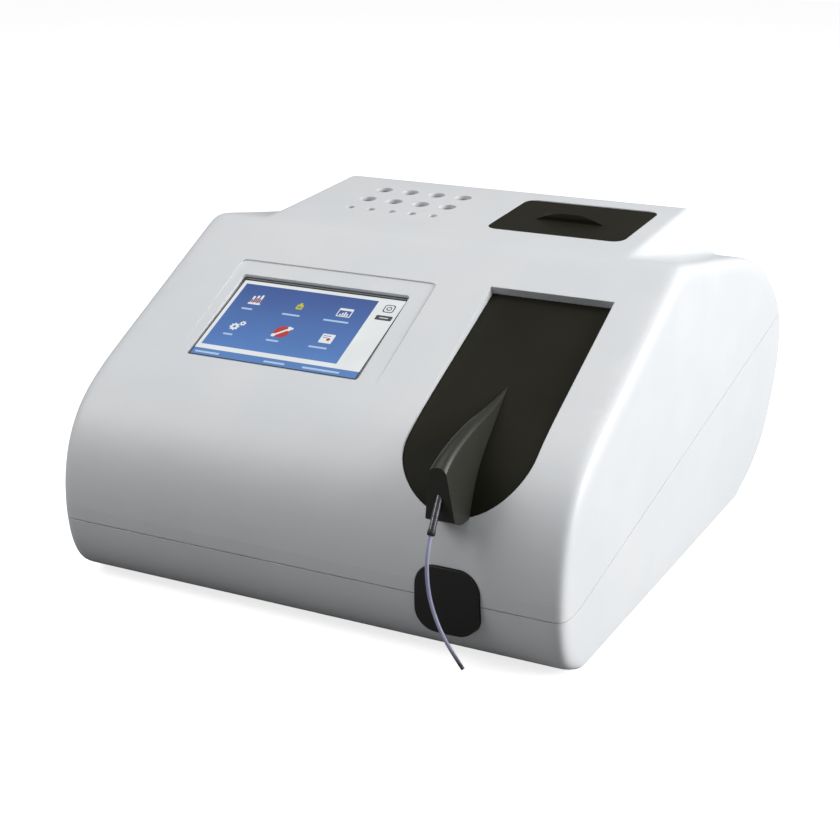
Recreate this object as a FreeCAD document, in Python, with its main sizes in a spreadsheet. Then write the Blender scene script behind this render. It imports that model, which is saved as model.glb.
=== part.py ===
"""Benchtop clinical chemistry analyzer: a two-part moulded housing on rubber feet, with a slanted
face that carries the display and the sipper, and a raised deck with tube wells and a cuvette lid.

Millimetres. +X is the operator's right, +Y runs to the back, +Z is up. The origin lies under the
middle of the instrument, on the surface that it stands on.
"""
import FreeCAD, Part
import math
import os
import re

from FreeCAD import Placement, Rotation, Vector

doc = FreeCAD.newDocument("chemistry_analyzer")
sheet = doc.addObject("Spreadsheet::Sheet", "Sizes")

SIZES = dict(
    # Housing: overall form, walls and parting line
    body_width=340, body_depth=397, crest_height=198.5, corner_round=10, wall=3, deck_round=4,
    deck_foot=11, foot_blend=3, cut_overrun=30, seam_gap=0.5, seam_front=39, seam_rear=116,
    # Feet, screws and screw posts
    foot_height=4, foot_radius=9, foot_stud_radius=3, foot_stud_length=4.2, foot_front=38,
    foot_edge_round=1, post_radius=5.5, post_front=34, post_split=30, post_bore=1.55,
    screw_radius=1.5, screw_head_radius=2.9, screw_head_height=2.2, screw_length=17,
    screw_pocket_radius=3.4, screw_pocket_depth=18,
    # Base plate on its bosses
    plate_thickness=1.5, plate_front=4, boss_height=3, boss_radius=5, chassis_screw_depth=2.5,
    # Display: window in the slanted face, glass, gasket, module, bracket and driver board
    window_width=122.5, window_start=22.5, window_length=78, window_round=2.5, window_tilt=2.2,
    surround_left=7.5, surround_right=13, surround_top=13.5, surround_depth=0.8, surround_round=4,
    glass_thickness=1.8, glass_sink=0.5, gasket_width=1.3, gasket_thickness=1.6, module_margin=2.5,
    module_thickness=5.5, bracket_margin=9, bracket_thickness=1.5, bracket_post_radius=3.6,
    board_thickness=1.6,
    # Black recess in the slanted face
    recess_width=81, recess_depth_top=5, recess_depth_bottom=0.4, recess_panel=2.5,
    recess_floor=2.5, recess_clearance=0.25,
    # Sipper: head, steel sleeve and hanging tube
    nose_reach=44.4, nose_width=18.6, head_length=91.5, nose_lean=7, ridge_round=6, sleeve_radius=2,
    sleeve_bore=1.15, sleeve_tilt=30, sleeve_y=-29.5, sipper_radius=1.1, sipper_bore=0.55,
    # Aspirate key: cap, stem, guide, spring, clip and slotted sensor
    key_z=38.5, key_width=40, key_height=40, key_round=13, key_front=-25.2, key_crown=3.2,
    key_depth=12.5, key_gap=0.4, key_stem_radius=4, guide_y=8, guide_thickness=3, guide_width=30,
    guide_top=52, guide_foot=18, running_gap=0.05, spring_radius=6, spring_wire=0.8,
    spring_turns=6, clip_radius=6.2, clip_thickness=1, flag_thickness=1.2, flag_length=9,
    flag_height=5, sensor_slot=3.2, sensor_width=14, sensor_depth=8, sensor_height=14,
    shelf_width=20,
    # Cuvette lid, its hinge pins and the bay under it
    lid_width=95, lid_start=21, lid_length=73, lid_thickness=4, lid_round=8,
    lid_gap=0.4, hinge_pin_radius=1, hinge_pin_length=9, hinge_pin_grip=4, grip_width=48,
    grip_height=5.5, grip_depth=16, grip_start=30, bay_wall=2, cell_window=9.4,
    # Tube wells and the heated block under them
    well_radius=5.9, small_well_radius=3.05, well_pitch=20.7, small_pitch=15.9, block_width=90,
    block_depth=76, deck_clearance=0.3, heater_thickness=1.5, heater_margin=5,
    # Optical bench with cell holder, flow cell, lens, filter wheel, lamp and detector
    bench_width=132, bench_depth=116, bench_thickness=8, leg_radius=6, leg_inset=10, beam_radius=3,
    holder_size=32, holder_height=58, cell_seat=10, beam_height=28, bench_ahead=64, holder_step=54,
    wheel_step=77, motor_step=85.4, barrel_step=88.5, lamp_step=104, detector_step=20,
    cell_size=12.4, cell_gap=0.15, cell_rise=2.5, cell_neck_radius=1.6, cell_neck=6,
    peltier_thickness=4, sink_depth=16, sink_base=4, fin_thickness=1.6, fin_count_pitch=5.2,
    wheel_radius=26, wheel_thickness=5, filter_orbit=19, filter_radius=5, filter_thickness=3,
    shaft_radius=1.5, shaft_length=17, hub_radius=5, hub_length=1.4, motor_radius=10,
    motor_length=15, motor_plate=1.6, motor_plate_width=24, barrel_radius=8, barrel_length=14,
    lens_radius=6, lens_thickness=3, lamp_box_width=28, lamp_box_depth=36, lamp_box_height=50,
    lamp_box_wall=2, lamp_radius=5.5, lamp_height=20, socket_radius=7, socket_height=16,
    detector_size=30, detector_height=42, diode_radius=4.5, diode_length=6,
    # Peristaltic pump
    pump_z=45, pump_plate=2, pump_plate_width=56, pump_plate_top=74, pump_foot=20,
    pump_motor_radius=16, pump_motor_length=44, rotor_radius=14.2, rotor_length=12, rotor_disc=2,
    roller_radius=4, roller_orbit=12, roller_slack=0.2, rotor_hub=5, drive_shaft=2.5,
    tube_radius=1.5, tube_bore=0.8, track_rim=7, head_depth=14, head_drop=20,
    # Electronics on the base plate
    supply_width=88, supply_depth=106, supply_height=38, supply_wall=1.2, slot_width=3,
    slot_pitch=8, board_width=124, board_depth=112, standoff_height=8, standoff_radius=3,
    standoff_inset=6, chip_size=18, chip_height=2.4, connector_length=40, connector_height=9,
    connector_depth=6,
    # Rear recess and panel with its fittings
    rear_bottom=26, rear_inset=29, rear_top=104, rear_ledge=6, panel_thickness=1.5,
    panel_screw_inset=4, fan_z=65, fan_size=50, fan_depth=15, fan_bore=23.6, fan_tip=22.6,
    fan_hub=10, fan_hub_depth=11, fan_blade=1.4, fan_spider=2, fan_arm=3, grille_wire=1.1,
    grille_pitch=5.6, grille_inner=5, inlet_z=52, inlet_width=28, inlet_height=21,
    inlet_flange_width=50, inlet_flange_height=27, inlet_flange=2, inlet_depth=24,
    socket_width=22.5, socket_height_inside=15.5, socket_depth=17, blade_width=2, blade_height=4,
    blade_pitch=7, switch_z=84, switch_width=24, switch_height=16, switch_lip=1.6, switch_depth=18,
    rocker_width=19, rocker_height=11, rocker_depth=9, rocker_gap=0.5, rocker_tilt=8,
    rocker_proud=3, serial_z=80, serial_width=31, serial_height=12.5, serial_shell_width=17.5,
    serial_shell_height=9, serial_reach=6, serial_body_depth=9, serial_wall=0.8, usb_z=50,
    usb_width=12, usb_height=11, usb_depth=16, usb_wall=1.2, usb_proud=1.5, fuse_z=82,
    fuse_radius=7.5, fuse_body_radius=6, fuse_depth=24, fuse_cap=7, waste_z=64, barb_radius=2.4,
    barb_length=13, barb_bore=1.2, barb_collar_radius=5, barb_collar=3, barb_tail=10,
)

# Places that follow the housing, as shares of its width, its depth or its crest's height.
PLACE_SHARES = {
    "body_width": dict(
        deck_half_width=0.3853, foot_x=0.353, post_x=0.4412, plate_half_width=0.4176,
        boss_x=0.294, window_middle=-0.1551, recess_middle=0.2868, key_x=0.2926, head_x=0.2926,
        lid_middle=0.1985, well_middle_x=-0.1642, small_middle_x=-0.1658, bench_middle=0.2353,
        pump_x=0.2794, supply_middle=-0.247, board_middle=-0.2, rear_half_width=0.347,
        fan_x=-0.1824, inlet_x=0.1118, switch_x=0.1118, serial_x=-0.0059, usb_x=-0.0059,
        fuse_x=0.2471, waste_x=0.2941),
    "body_depth": dict(
        foot_rear=0.68, post_rear=0.7355, plate_rear=0.718, recess_top=0.3123,
        recess_bottom=-0.047, nose_y=-0.0894, well_rear=0.6406, well_middle=0.578,
        small_row=0.5204, block_middle_y=0.5793, beam_y=0.5844, pump_plate_y=0.2821,
        supply_middle_y=0.5617, board_middle_y=0.2267),
    "crest_height": dict(
        bay_floor=0.8161, block_bottom=0.7557, well_bottom=0.7859, small_well_bottom=0.8564,
        heel_z=0.403, tip_z=0.7154, sleeve_z=0.5508)}

# Places that stand off from another place by so many times a size.
STEPS = dict(
    window_left=("window_middle", -0.5, "window_width"),
    recess_left=("recess_middle", -0.5, "recess_width"),
    lid_left=("lid_middle", -0.5, "lid_width"),
    well_first=("well_middle_x", -1.5, "well_pitch"),
    small_first=("small_middle_x", -2, "small_pitch"),
    block_left=("well_middle_x", -0.5, "block_width"),
    block_front=("block_middle_y", -0.5, "block_depth"),
    bench_left=("bench_middle", -0.5, "bench_width"),
    bench_front=("beam_y", -1, "bench_ahead"),
    bench_top=("bay_floor", -1, "holder_height"),
    cell_bottom=("bench_top", 1, "cell_seat"),
    beam_z=("bench_top", 1, "beam_height"),
    holder_x=("bench_left", 1, "holder_step"),
    wheel_x=("bench_left", 1, "wheel_step"),
    wheel_y=("beam_y", 1, "filter_orbit"),
    motor_x=("bench_left", 1, "motor_step"),
    barrel_x=("bench_left", 1, "barrel_step"),
    lamp_box_x=("bench_left", 1, "lamp_step"),
    detector_x=("bench_left", 1, "detector_step"),
    supply_left=("supply_middle", -0.5, "supply_width"),
    supply_front=("supply_middle_y", -0.5, "supply_depth"),
    board_left=("board_middle", -0.5, "board_width"),
    board_front=("board_middle_y", -0.5, "board_depth"),
    rear_floor=("body_depth", -1, "rear_inset"),
)
SHARED = {name: (share, whole) for whole, table in PLACE_SHARES.items()
          for name, share in table.items()}


def words(names):
    """A pattern that finds any of the names in a text."""
    return re.compile(r"\b(" + "|".join(names) + r")\b")


ALIAS = words(SIZES)
FOLLOWER = words(list(SHARED) + list(STEPS))

for row, (alias, value) in enumerate(SIZES.items(), start=1):
    sheet.set("A%d" % row, alias)
    sheet.set("B%d" % row, str(value))
    sheet.setAlias("B%d" % row, alias)
doc.recompute()


def size(name):
    """A size from the sheet, or a place that follows from them."""
    if name in SHARED:
        share, whole = SHARED[name]
        return share * size(whole)
    if name in STEPS:
        start, times, step = STEPS[name]
        return size(start) + times * size(step)
    return float(getattr(sheet, name))


def spelled(found):
    """The expression that a place stands for."""
    name = found.group(1)
    if name in SHARED:
        return "(%s * %s)" % SHARED[name]
    return "(%s + %s * %s)" % STEPS[name]


def linked(text):
    """An expression in which each size name points at its cell."""
    text = str(text)
    while FOLLOWER.search(text):
        text = FOLLOWER.sub(spelled, text)
    return ALIAS.sub(r"Sizes.\1", text)


def bind(piece, **settings):
    """Bind properties of a piece, such as Length, to expressions in the sizes."""
    for prop, text in settings.items():
        piece.setExpression(prop, linked(text))
    return piece


# Every place is given from the housing's bottom front edge: across, back and up.
FRONT = "(nose_reach - body_depth) / 2"
BASE = "foot_height"
TURNS = {"x": Rotation(Vector(0, 1, 0), 90), "y": Rotation(Vector(1, 0, 0), -90), "z": Rotation()}


def place(piece, x, y, z, turn=None):
    """Bind the place of a piece, given from the housing's bottom front edge."""
    piece.Placement = Placement(Vector(), turn or Rotation())
    piece.setExpression("Placement.Base.x", linked(x))
    piece.setExpression("Placement.Base.y", linked("%s + %s" % (FRONT, y)))
    piece.setExpression("Placement.Base.z", linked("%s + %s" % (BASE, z)))
    return piece


def block(at, dims):
    """A box with its lowest corner at a place."""
    piece = doc.addObject("Part::Box", "block")
    bind(piece, Length=dims[0], Width=dims[1], Height=dims[2])
    return place(piece, *at)


def rod(at, radius, length, axis="z"):
    """A cylinder that starts at a place and runs along +X, +Y or +Z."""
    piece = doc.addObject("Part::Cylinder", "rod")
    bind(piece, Radius=radius, Height=length)
    return place(piece, *at, turn=TURNS[axis])


def fused(pieces):
    """One solid of several pieces."""
    piece = doc.addObject("Part::MultiFuse", "joined")
    piece.Shapes = pieces
    return piece


def cut(base, tools):
    """A piece with tools cut out of it."""
    piece = doc.addObject("Part::Cut", "cut")
    piece.Base = base
    piece.Tool = tools[0] if len(tools) == 1 else fused(tools)
    return piece


def shared(pieces):
    """The space that pieces share."""
    piece = doc.addObject("Part::MultiCommon", "shared")
    piece.Shapes = pieces
    return piece


def group(pieces):
    """Separate solids that share one node."""
    piece = doc.addObject("Part::Compound", "group")
    piece.Links = pieces
    return piece


def formed(shape):
    """A piece whose shape is worked out from the sizes in code."""
    piece = doc.addObject("Part::Feature", "formed")
    piece.Shape = shape
    return piece


nodes = []


def node(label, piece):
    """Name a finished sub-part. The label is also its file's name."""
    piece.Label = label
    nodes.append(piece)
    return piece


# Housing form: one smooth skin over rows of control points, closed by flat sides and a flat base.
# Each row gives a point of the side outline and, where the deck stands proud, one of its middle.
# Both are shares of the body's depth and of the crest's height, from the front edge round the top.
SIDE_SHARES = (
    (0.005, 0), (-0.020, 0.015), (-0.041, 0.066), (-0.053, 0.151), (-0.0575, 0.242),
    (-0.0545, 0.328), (-0.0465, 0.403), (-0.0315, 0.474), (-0.0075, 0.544), (0.025, 0.602),
    (0.068, 0.6575), (0.151, 0.744), (0.277, 0.875), (0.3675, 0.969), (0.401, 1.004),
    (0.436, 0.991), (0.5415, 0.953), (0.642, 0.920), (0.708, 0.8945), (0.7205, 0.889),
    (0.733, 0.8835), (0.766, 0.868), (0.796, 0.8475), (0.861, 0.792), (0.932, 0.707),
    (0.980, 0.606), (1, 0.520), (1, 0.453), (1, 0.388), (0.985, 0.302), (0.962, 0.219),
    (0.9345, 0.136), (0.8915, 0.060), (0.834, 0.0125), (0.781, 0))
DECK_SHARES = {
    13: (0.365, 0.967), 14: (0.393, 0.9965), 15: (0.428, 1.0005), 16: (0.5415, 1.0175),
    17: (0.660, 1.035), 18: (0.708, 1.042), 19: (0.719, 1.0435), 20: (0.726, 1.0125),
    21: (0.758, 0.864)}
SKIN_DEGREE = 3

# The skin is parted into faces along these knots, counted round the outline and across it, so
# that each face has an even pace and keeps to its own side of the housing.
BACK_CUTS = (3, 9, 12, 15, 17, 20, 22, 25, 28)
SIDE_CUTS = (3, 5, 6, 7, 9, 10, 11, 13)


def scaled(point_shares):
    """Outline points in millimetres, from shares of the depth and the crest's height."""
    return [(y * size("body_depth"), z * size("crest_height")) for y, z in point_shares]


def moved_in(outline, inset):
    """An outline moved inwards along its own normals. The two ends stay on the base."""
    last = len(outline) - 1
    points = [(outline[0][0] + inset, outline[0][1] + inset)]
    for i in range(1, last):
        before = outline[max(0, i - 2)]
        after = outline[min(last, i + 2)]
        run, rise = after[0] - before[0], after[1] - before[1]
        length = math.hypot(run, rise)
        y = outline[i][0] + inset * rise / length
        z = outline[i][1] - inset * run / length
        points.append((y, max(z, inset)))
    points.append((outline[last][0] - inset, outline[last][1] + inset))
    return points


def skin_points(inset):
    """Rows of control points across the housing, for a form that lies inset from the outside."""
    side = scaled(SIDE_SHARES)
    middle = scaled([DECK_SHARES.get(i, share) for i, share in enumerate(SIDE_SHARES)])
    rises = [max(0, top[1] - low[1]) for top, low in zip(middle, side)]
    low = moved_in(side, inset)
    top = moved_in(middle, inset)
    turned = moved_in(side, inset + size("corner_round"))
    turned[0] = (low[0][0] + size("corner_round"), low[0][1])
    turned[-1] = (low[-1][0] - size("corner_round"), low[-1][1])
    turned = [(y, max(z, inset)) for y, z in turned]
    half = size("body_width") / 2 - inset
    edge = size("deck_half_width") - inset
    rows = []
    for i, rise in enumerate(rises):
        foot = edge + rise / 3 + size("foot_blend")
        across = [
            (edge / 2, top[i]), (edge - 3 * size("deck_round"), top[i]),
            (edge - size("deck_round"), top[i]), (edge, top[i]), (foot, low[i]),
            (foot + size("deck_foot"), low[i]), (half - size("corner_round"), low[i]),
            (half, low[i]), (half, turned[i])]
        left = [Vector(-x, y, z) for x, (y, z) in reversed(across)]
        right = [Vector(x, y, z) for x, (y, z) in across]
        rows.append(left + [Vector(0, *top[i])] + right)
    return rows


def even_knots(count):
    """Clamped, evenly spaced knots for a number of control points."""
    spans = count - SKIN_DEGREE
    counts = [SKIN_DEGREE + 1] + [1] * (spans - 1) + [SKIN_DEGREE + 1]
    return counts, [float(k) for k in range(spans + 1)]


def skin_faces(surface, back_knots, side_knots):
    """The skin's faces, parted along its cuts."""
    faces = []
    back = [back_knots[0], *BACK_CUTS, back_knots[-1]]
    side = [side_knots[0], *SIDE_CUTS, side_knots[-1]]
    for low, high in zip(back, back[1:]):
        for left, right in zip(side, side[1:]):
            part_skin = surface.copy()
            part_skin.segment(low, high, left, right)
            faces.append(part_skin.toShape())
    return faces


def housing_form(inset):
    """The housing's solid form, inset by a thickness all round."""
    points = skin_points(inset)
    back_counts, back_knots = even_knots(len(points))
    side_counts, side_knots = even_knots(len(points[0]))
    surface = Part.BSplineSurface()
    surface.buildFromPolesMultsKnots(points, back_counts, side_counts, back_knots, side_knots,
                                     False, False, SKIN_DEGREE, SKIN_DEGREE)
    front = surface.uIso(back_knots[0]).toShape()
    rear = surface.uIso(back_knots[-1]).toShape()
    left = surface.vIso(side_knots[0]).toShape()
    right = surface.vIso(side_knots[-1]).toShape()
    left_foot = Part.makeLine(points[0][0], points[-1][0])
    right_foot = Part.makeLine(points[0][-1], points[-1][-1])
    base = Part.Wire(Part.__sortEdges__([front, right_foot, rear, left_foot]))
    faces = skin_faces(surface, back_knots, side_knots)
    faces += [Part.Face(Part.Wire([left, left_foot])), Part.Face(Part.Wire([right, right_foot])),
              Part.Face(base)]
    shell = Part.makeShell(faces)
    shell.sewShape()
    form = Part.makeSolid(shell)
    if form.Volume < 0:
        form.reverse()
    return form


front_y = (size("nose_reach") - size("body_depth")) / 2
base_z = size("foot_height")


def grounded(shape):
    """Move a shape from the housing's bottom front edge to its place over the origin."""
    shape.translate(Vector(0, front_y, base_z))
    return shape


outer_form = grounded(housing_form(0))
inner_form = grounded(housing_form(size("wall")))
deck_form = grounded(housing_form(size("wall") + size("deck_clearance")))

# The slanted face and the deck are flat in Y and Z between two rows of the form.
slant_low, slant_high = scaled([SIDE_SHARES[11], SIDE_SHARES[13]])
slant_angle = math.degrees(math.atan2(slant_high[1] - slant_low[1], slant_high[0] - slant_low[0]))
deck_low, deck_high = scaled([DECK_SHARES[16], DECK_SHARES[17]])
deck_angle = math.degrees(math.atan2(deck_high[1] - deck_low[1], deck_high[0] - deck_low[0]))


def deck_level(y):
    """Height of the deck's surface at a distance behind the front edge."""
    return deck_low[1] + (y - deck_low[0]) * math.tan(math.radians(deck_angle))


def slant_level(y):
    """Height of the slanted face at a distance behind the front edge."""
    return slant_low[1] + (y - slant_low[0]) * math.tan(math.radians(slant_angle))


def tilted_frame(x, y, z, angle):
    """A placement whose local Y runs up a face that slopes by an angle."""
    return Placement(Vector(x, front_y + y, base_z + z), Rotation(Vector(1, 0, 0), angle))


UPRIGHT_SHARE = 0.9


def upright_edges(shape):
    """A shape's edges that run straight up."""
    return [e for e in shape.Edges if abs(e.tangentAt(e.FirstParameter).z) > UPRIGHT_SHARE]


def tilted_plate(frame, corner, width, length, thickness, radius=0):
    """A plate in a sloping frame, with its low corner at a local place and rounded corners."""
    plate = Part.makeBox(width, length, thickness, Vector(*corner))
    if radius:
        upright = upright_edges(plate)
        plate = plate.makeFillet(radius, upright)
    plate.Placement = frame
    return plate


def rod_shape(x, y, z, radius, length, direction):
    """A cylinder's shape, placed from the housing's bottom front edge."""
    return Part.makeCylinder(radius, length, Vector(x, front_y + y, base_z + z), direction)


def carved(shape, tools):
    """A shape with tools cut out of it, one after another."""
    for tool in tools:
        shape = shape.cut(tool)
    return shape


def seam_region(lowest, gap):
    """The space under the parting line. It runs level at the front and climbs to the rear."""
    half = size("body_width")
    reach = size("cut_overrun") + size("nose_reach")
    depth = size("body_depth")
    front_z = size("seam_front") - gap
    points = [(-reach, lowest), (-reach, front_z), (0, front_z),
              (depth, size("seam_rear") - gap), (depth + reach, size("seam_rear") - gap),
              (depth + reach, lowest), (-reach, lowest)]
    outline = Part.makePolygon([Vector(-half, y, z) for y, z in points])
    return grounded(Part.Face(outline).extrude(Vector(2 * half, 0, 0)))


below_seam = seam_region(-size("cut_overrun"), size("seam_gap"))
above_split = seam_region(-size("cut_overrun"), 0)

# The glass lies a little flatter than the slanted face.
window_y = slant_low[0] - size("window_start") * math.cos(math.radians(slant_angle))
window_z = slant_level(window_y)
glass_angle = slant_angle - size("window_tilt")
glass_frame = tilted_frame(0, window_y, window_z, glass_angle)
over = size("cut_overrun")
window_right = size("window_left") + size("window_width")


def recess_prism(growth):
    """The recess outline, straight down to a round end, swept square to the slanted face."""
    bottom_y, bottom_z = size("recess_bottom"), scaled([SIDE_SHARES[7]])[0][1] - size("wall")
    top_y, top_z = size("recess_top"), slant_level(size("recess_top"))
    rise_angle = math.degrees(math.atan2(top_z - bottom_z, top_y - bottom_y))
    length = math.hypot(top_y - bottom_y, top_z - bottom_z)
    radius = size("recess_width") / 2 + growth
    middle = size("recess_left") + size("recess_width") / 2
    frame = tilted_frame(middle, bottom_y, bottom_z, rise_angle)
    centre = Vector(0, radius - growth, -over)
    strip = Part.makeBox(2 * radius, length - radius + 2 * growth, 2 * over,
                         Vector(-radius, radius - growth, -over))
    round_end = Part.makeCylinder(radius, 2 * over, centre)
    prism = strip.fuse(round_end).removeSplitter()
    prism.Placement = frame
    return prism


def sunk_form(extra):
    """The housing form lowered by the recess depth, which grows from the round end to the top."""
    angle = math.degrees(math.atan2(size("recess_depth_top") - size("recess_depth_bottom"),
                                    size("recess_top") - size("recess_bottom")))
    shape = housing_form(size("recess_depth_bottom") + extra)
    shape.rotate(Vector(0, size("recess_bottom"), scaled([SIDE_SHARES[7]])[0][1]),
                 Vector(1, 0, 0), -angle)
    return grounded(shape)


recess_hole = recess_prism(0)
recess_top_form = sunk_form(0)
recess_panel_form = sunk_form(size("recess_panel"))
recess_floor_form = sunk_form(size("recess_panel") + size("recess_floor"))

# Key opening, and the box recess in the housing's rear.


def key_block(growth, y, length):
    """A rounded square prism of the key's outline."""
    width, height = size("key_width") + 2 * growth, size("key_height") + 2 * growth
    prism = Part.makeBox(width, length, height, Vector(size("key_x") - width / 2, y,
                                                       size("key_z") - height / 2))
    along = [e for e in prism.Edges if abs(e.tangentAt(e.FirstParameter).y) > 0.9]
    return grounded(prism.makeFillet(size("key_round") + growth, along))


def rear_block(growth, start):
    """The box recess at the rear, grown by a thickness."""
    half = size("rear_half_width") + growth
    return grounded(Part.makeBox(
        2 * half, size("body_depth"), size("rear_top") - size("rear_bottom") + 2 * growth,
        Vector(-half, start, size("rear_bottom") - growth)))


lid_frame = tilted_frame(0, deck_low[0] - size("lid_start"),
                         deck_level(deck_low[0] - size("lid_start")), deck_angle)
lid_hole = Part.makeBox(size("lid_width") + 2 * size("lid_gap"),
                        size("lid_length") + 2 * size("lid_gap"), 2 * over,
                        Vector(size("lid_left") - size("lid_gap"), -size("lid_gap"), -over))
lid_hole = lid_hole.makeFillet(size("lid_round") + size("lid_gap"), upright_edges(lid_hole))
lid_hole.Placement = lid_frame


def well_places():
    """Places and radii of the tube wells: two rows of large ones and a front row of small ones."""
    places = []
    for y in (size("well_rear"), size("well_middle")):
        for i in range(4):
            places.append((size("well_first") + i * size("well_pitch"), y, size("well_radius"),
                           size("well_bottom")))
    for i in range(5):
        places.append((size("small_first") + i * size("small_pitch"), size("small_row"),
                       size("small_well_radius"), size("small_well_bottom")))
    return places


def well_bores(growth):
    """Upright bores of all the wells, up through the deck."""
    return [rod_shape(x, y, bottom, radius + growth, size("crest_height"), Vector(0, 0, 1))
            for x, y, radius, bottom in well_places()]


def post_places():
    """Places of the four housing screw posts."""
    return [(x, y) for x in (-size("post_x"), size("post_x"))
            for y in (size("post_front"), size("post_rear"))]


# Upper housing: moulded shell with screw posts, display posts, recess pocket and deck openings.
upper = outer_form.cut(inner_form).cut(above_split)
pocket = recess_prism(size("wall")).common(outer_form).cut(recess_floor_form)
display_posts = []
for x in (size("window_left"), window_right):
    for y in (0, size("window_length")):
        post = Part.makeCylinder(size("bracket_post_radius"), 2 * over, Vector(0, 0, over),
                                 Vector(0, 0, -1))
        side_x = math.copysign(size("bracket_post_radius") + size("module_margin"),
                               x - size("window_left") - size("window_width") / 2)
        side_y = math.copysign(size("bracket_post_radius") + size("module_margin"),
                               y - size("window_length") / 2)
        post.Placement = Placement(glass_frame.multVec(Vector(x + side_x, y + side_y, 0)),
                                   glass_frame.Rotation)
        display_posts.append(post)
bracket_depth = size("glass_sink") + size("glass_thickness") + size("module_thickness")
post_floor = tilted_plate(glass_frame, (-size("body_width"), -size("body_depth"), -2 * size(
    "crest_height") - bracket_depth), 2 * size("body_width"), 2 * size("body_depth"),
    2 * size("crest_height"))
display_posts = [post.cut(post_floor).common(outer_form) for post in display_posts]
screw_posts = [rod_shape(x, y, size("post_split"), size("post_radius"), size("crest_height"),
                         Vector(0, 0, 1)).common(outer_form) for x, y in post_places()]
upper = upper.fuse([pocket] + display_posts + screw_posts)
window_hole = tilted_plate(glass_frame, (size("window_left"), 0, -over), size("window_width"),
                           size("window_length"), 2 * over, size("window_round"))
surround_width = size("surround_left") + size("window_width") + size("surround_right")
surround_length = size("window_start") + size("window_length") + size("surround_top")
surround_fall = math.degrees(math.atan2(size("surround_depth"), surround_length))
surround_y = window_y - size("window_start") * math.cos(math.radians(slant_angle))
surround_frame = tilted_frame(0, surround_y, slant_level(surround_y), slant_angle - surround_fall)
surround = tilted_plate(surround_frame, (size("window_left") - size("surround_left"), 0, 0),
                        surround_width, surround_length, over, size("surround_round"))
pilot_holes = [rod_shape(x, y, size("post_split"), size("post_bore"), size("screw_length"),
                         Vector(0, 0, 1)) for x, y in post_places()]
pin_hole_y = size("lid_length") - size("lid_round")
pin_hole = Part.makeCylinder(size("hinge_pin_radius"), size("lid_width") + 2 * size(
    "hinge_pin_grip"), Vector(size("lid_left") - size("hinge_pin_grip"), pin_hole_y,
                              -size("lid_thickness") / 2), Vector(1, 0, 0))
pin_hole.Placement = lid_frame
hinge_cheeks = tilted_plate(lid_frame, (size("lid_left") - 2 * size("hinge_pin_grip"),
                                        pin_hole_y - size("lid_thickness"),
                                        -2 * size("lid_thickness")),
                            size("lid_width") + 4 * size("hinge_pin_grip"),
                            2 * size("lid_thickness"), 2 * size("lid_thickness"))
upper = upper.fuse([hinge_cheeks.common(outer_form)])
key_hole = key_block(size("key_gap"), -2 * size("nose_reach"), 2 * size("nose_reach"))
upper = carved(upper, [window_hole, surround, recess_hole.cut(recess_panel_form), lid_hole,
                       pin_hole, key_hole] + well_bores(0) + pilot_holes)
node("upper_housing", formed(upper))

# Lower housing: moulded tub with screw towers, plate bosses, foot holes and the rear recess.
lower = outer_form.cut(inner_form).common(below_seam)
rear_frame = rear_block(size("wall"), size("rear_floor") - size("wall")).common(outer_form)
towers = [rod_shape(x, y, 0, size("post_radius"), size("post_split"), Vector(0, 0, 1))
          for x, y in post_places()]
boss_places = [(x, y) for x in (-size("boss_x"), 0, size("boss_x"))
               for y in (size("foot_front"), size("foot_rear"))]
bosses = [rod_shape(x, y, 0, size("boss_radius"), size("wall") + size("boss_height"),
                    Vector(0, 0, 1)) for x, y in boss_places]
lower = lower.fuse([rear_frame] + towers + bosses)
rear_window = grounded(Part.makeBox(
    2 * (size("rear_half_width") - size("rear_ledge")), size("body_depth"),
    size("rear_top") - size("rear_bottom") - 2 * size("rear_ledge"),
    Vector(-size("rear_half_width") + size("rear_ledge"), size("rear_floor") - 2 * size("wall"),
           size("rear_bottom") + size("rear_ledge"))))
foot_places = [(x, y) for x in (-size("foot_x"), size("foot_x"))
               for y in (size("foot_front"), size("foot_rear"))]
lower_cuts = [rear_block(0, size("rear_floor")), rear_window, key_hole]
for x, y in post_places():
    lower_cuts.append(rod_shape(x, y, 0, size("screw_pocket_radius"), size("screw_pocket_depth"),
                                Vector(0, 0, 1)))
    lower_cuts.append(rod_shape(x, y, 0, size("post_bore"), size("post_split"), Vector(0, 0, 1)))
for x, y in foot_places:
    lower_cuts.append(rod_shape(x, y, -size("wall"), size("foot_stud_radius"),
                                3 * size("wall"), Vector(0, 0, 1)))
for x, y in boss_places:
    lower_cuts.append(rod_shape(x, y, size("wall") + size("boss_height")
                                - size("chassis_screw_depth"), size("screw_radius"),
                                size("chassis_screw_depth"), Vector(0, 0, 1)))
node("lower_housing", formed(carved(lower, lower_cuts)))

# Rubber feet, each pushed into a hole in the floor by its stud.
feet = []
for x, y in foot_places:
    pad = rod_shape(x, y, -size("foot_height"), size("foot_radius"), size("foot_height"),
                    Vector(0, 0, 1))
    rims = [e for e in pad.Edges if e.Closed]
    pad = pad.makeChamfer(size("foot_edge_round"), [min(rims, key=lambda e: e.CenterOfMass.z)])
    stud = rod_shape(x, y, 0, size("foot_stud_radius"), size("foot_stud_length"), Vector(0, 0, 1))
    feet.append(formed(pad.fuse(stud)))
node("rubber_feet", group(feet))


def screw(x, y, z, turn="z", shank="screw_length"):
    """A pan-head screw. Its shank starts at the place and runs along +X, +Y or +Z."""
    shift = {"x": ("- screw_head_height", "", ""), "y": ("", "- screw_head_height", ""),
             "z": ("", "", "- screw_head_height")}[turn]
    head = rod(("%s %s" % (x, shift[0]), "%s %s" % (y, shift[1]), "%s %s" % (z, shift[2])),
               "screw_head_radius", "screw_head_height", turn)
    return fused([head, rod((x, y, z), "screw_radius", shank, turn)])


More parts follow.
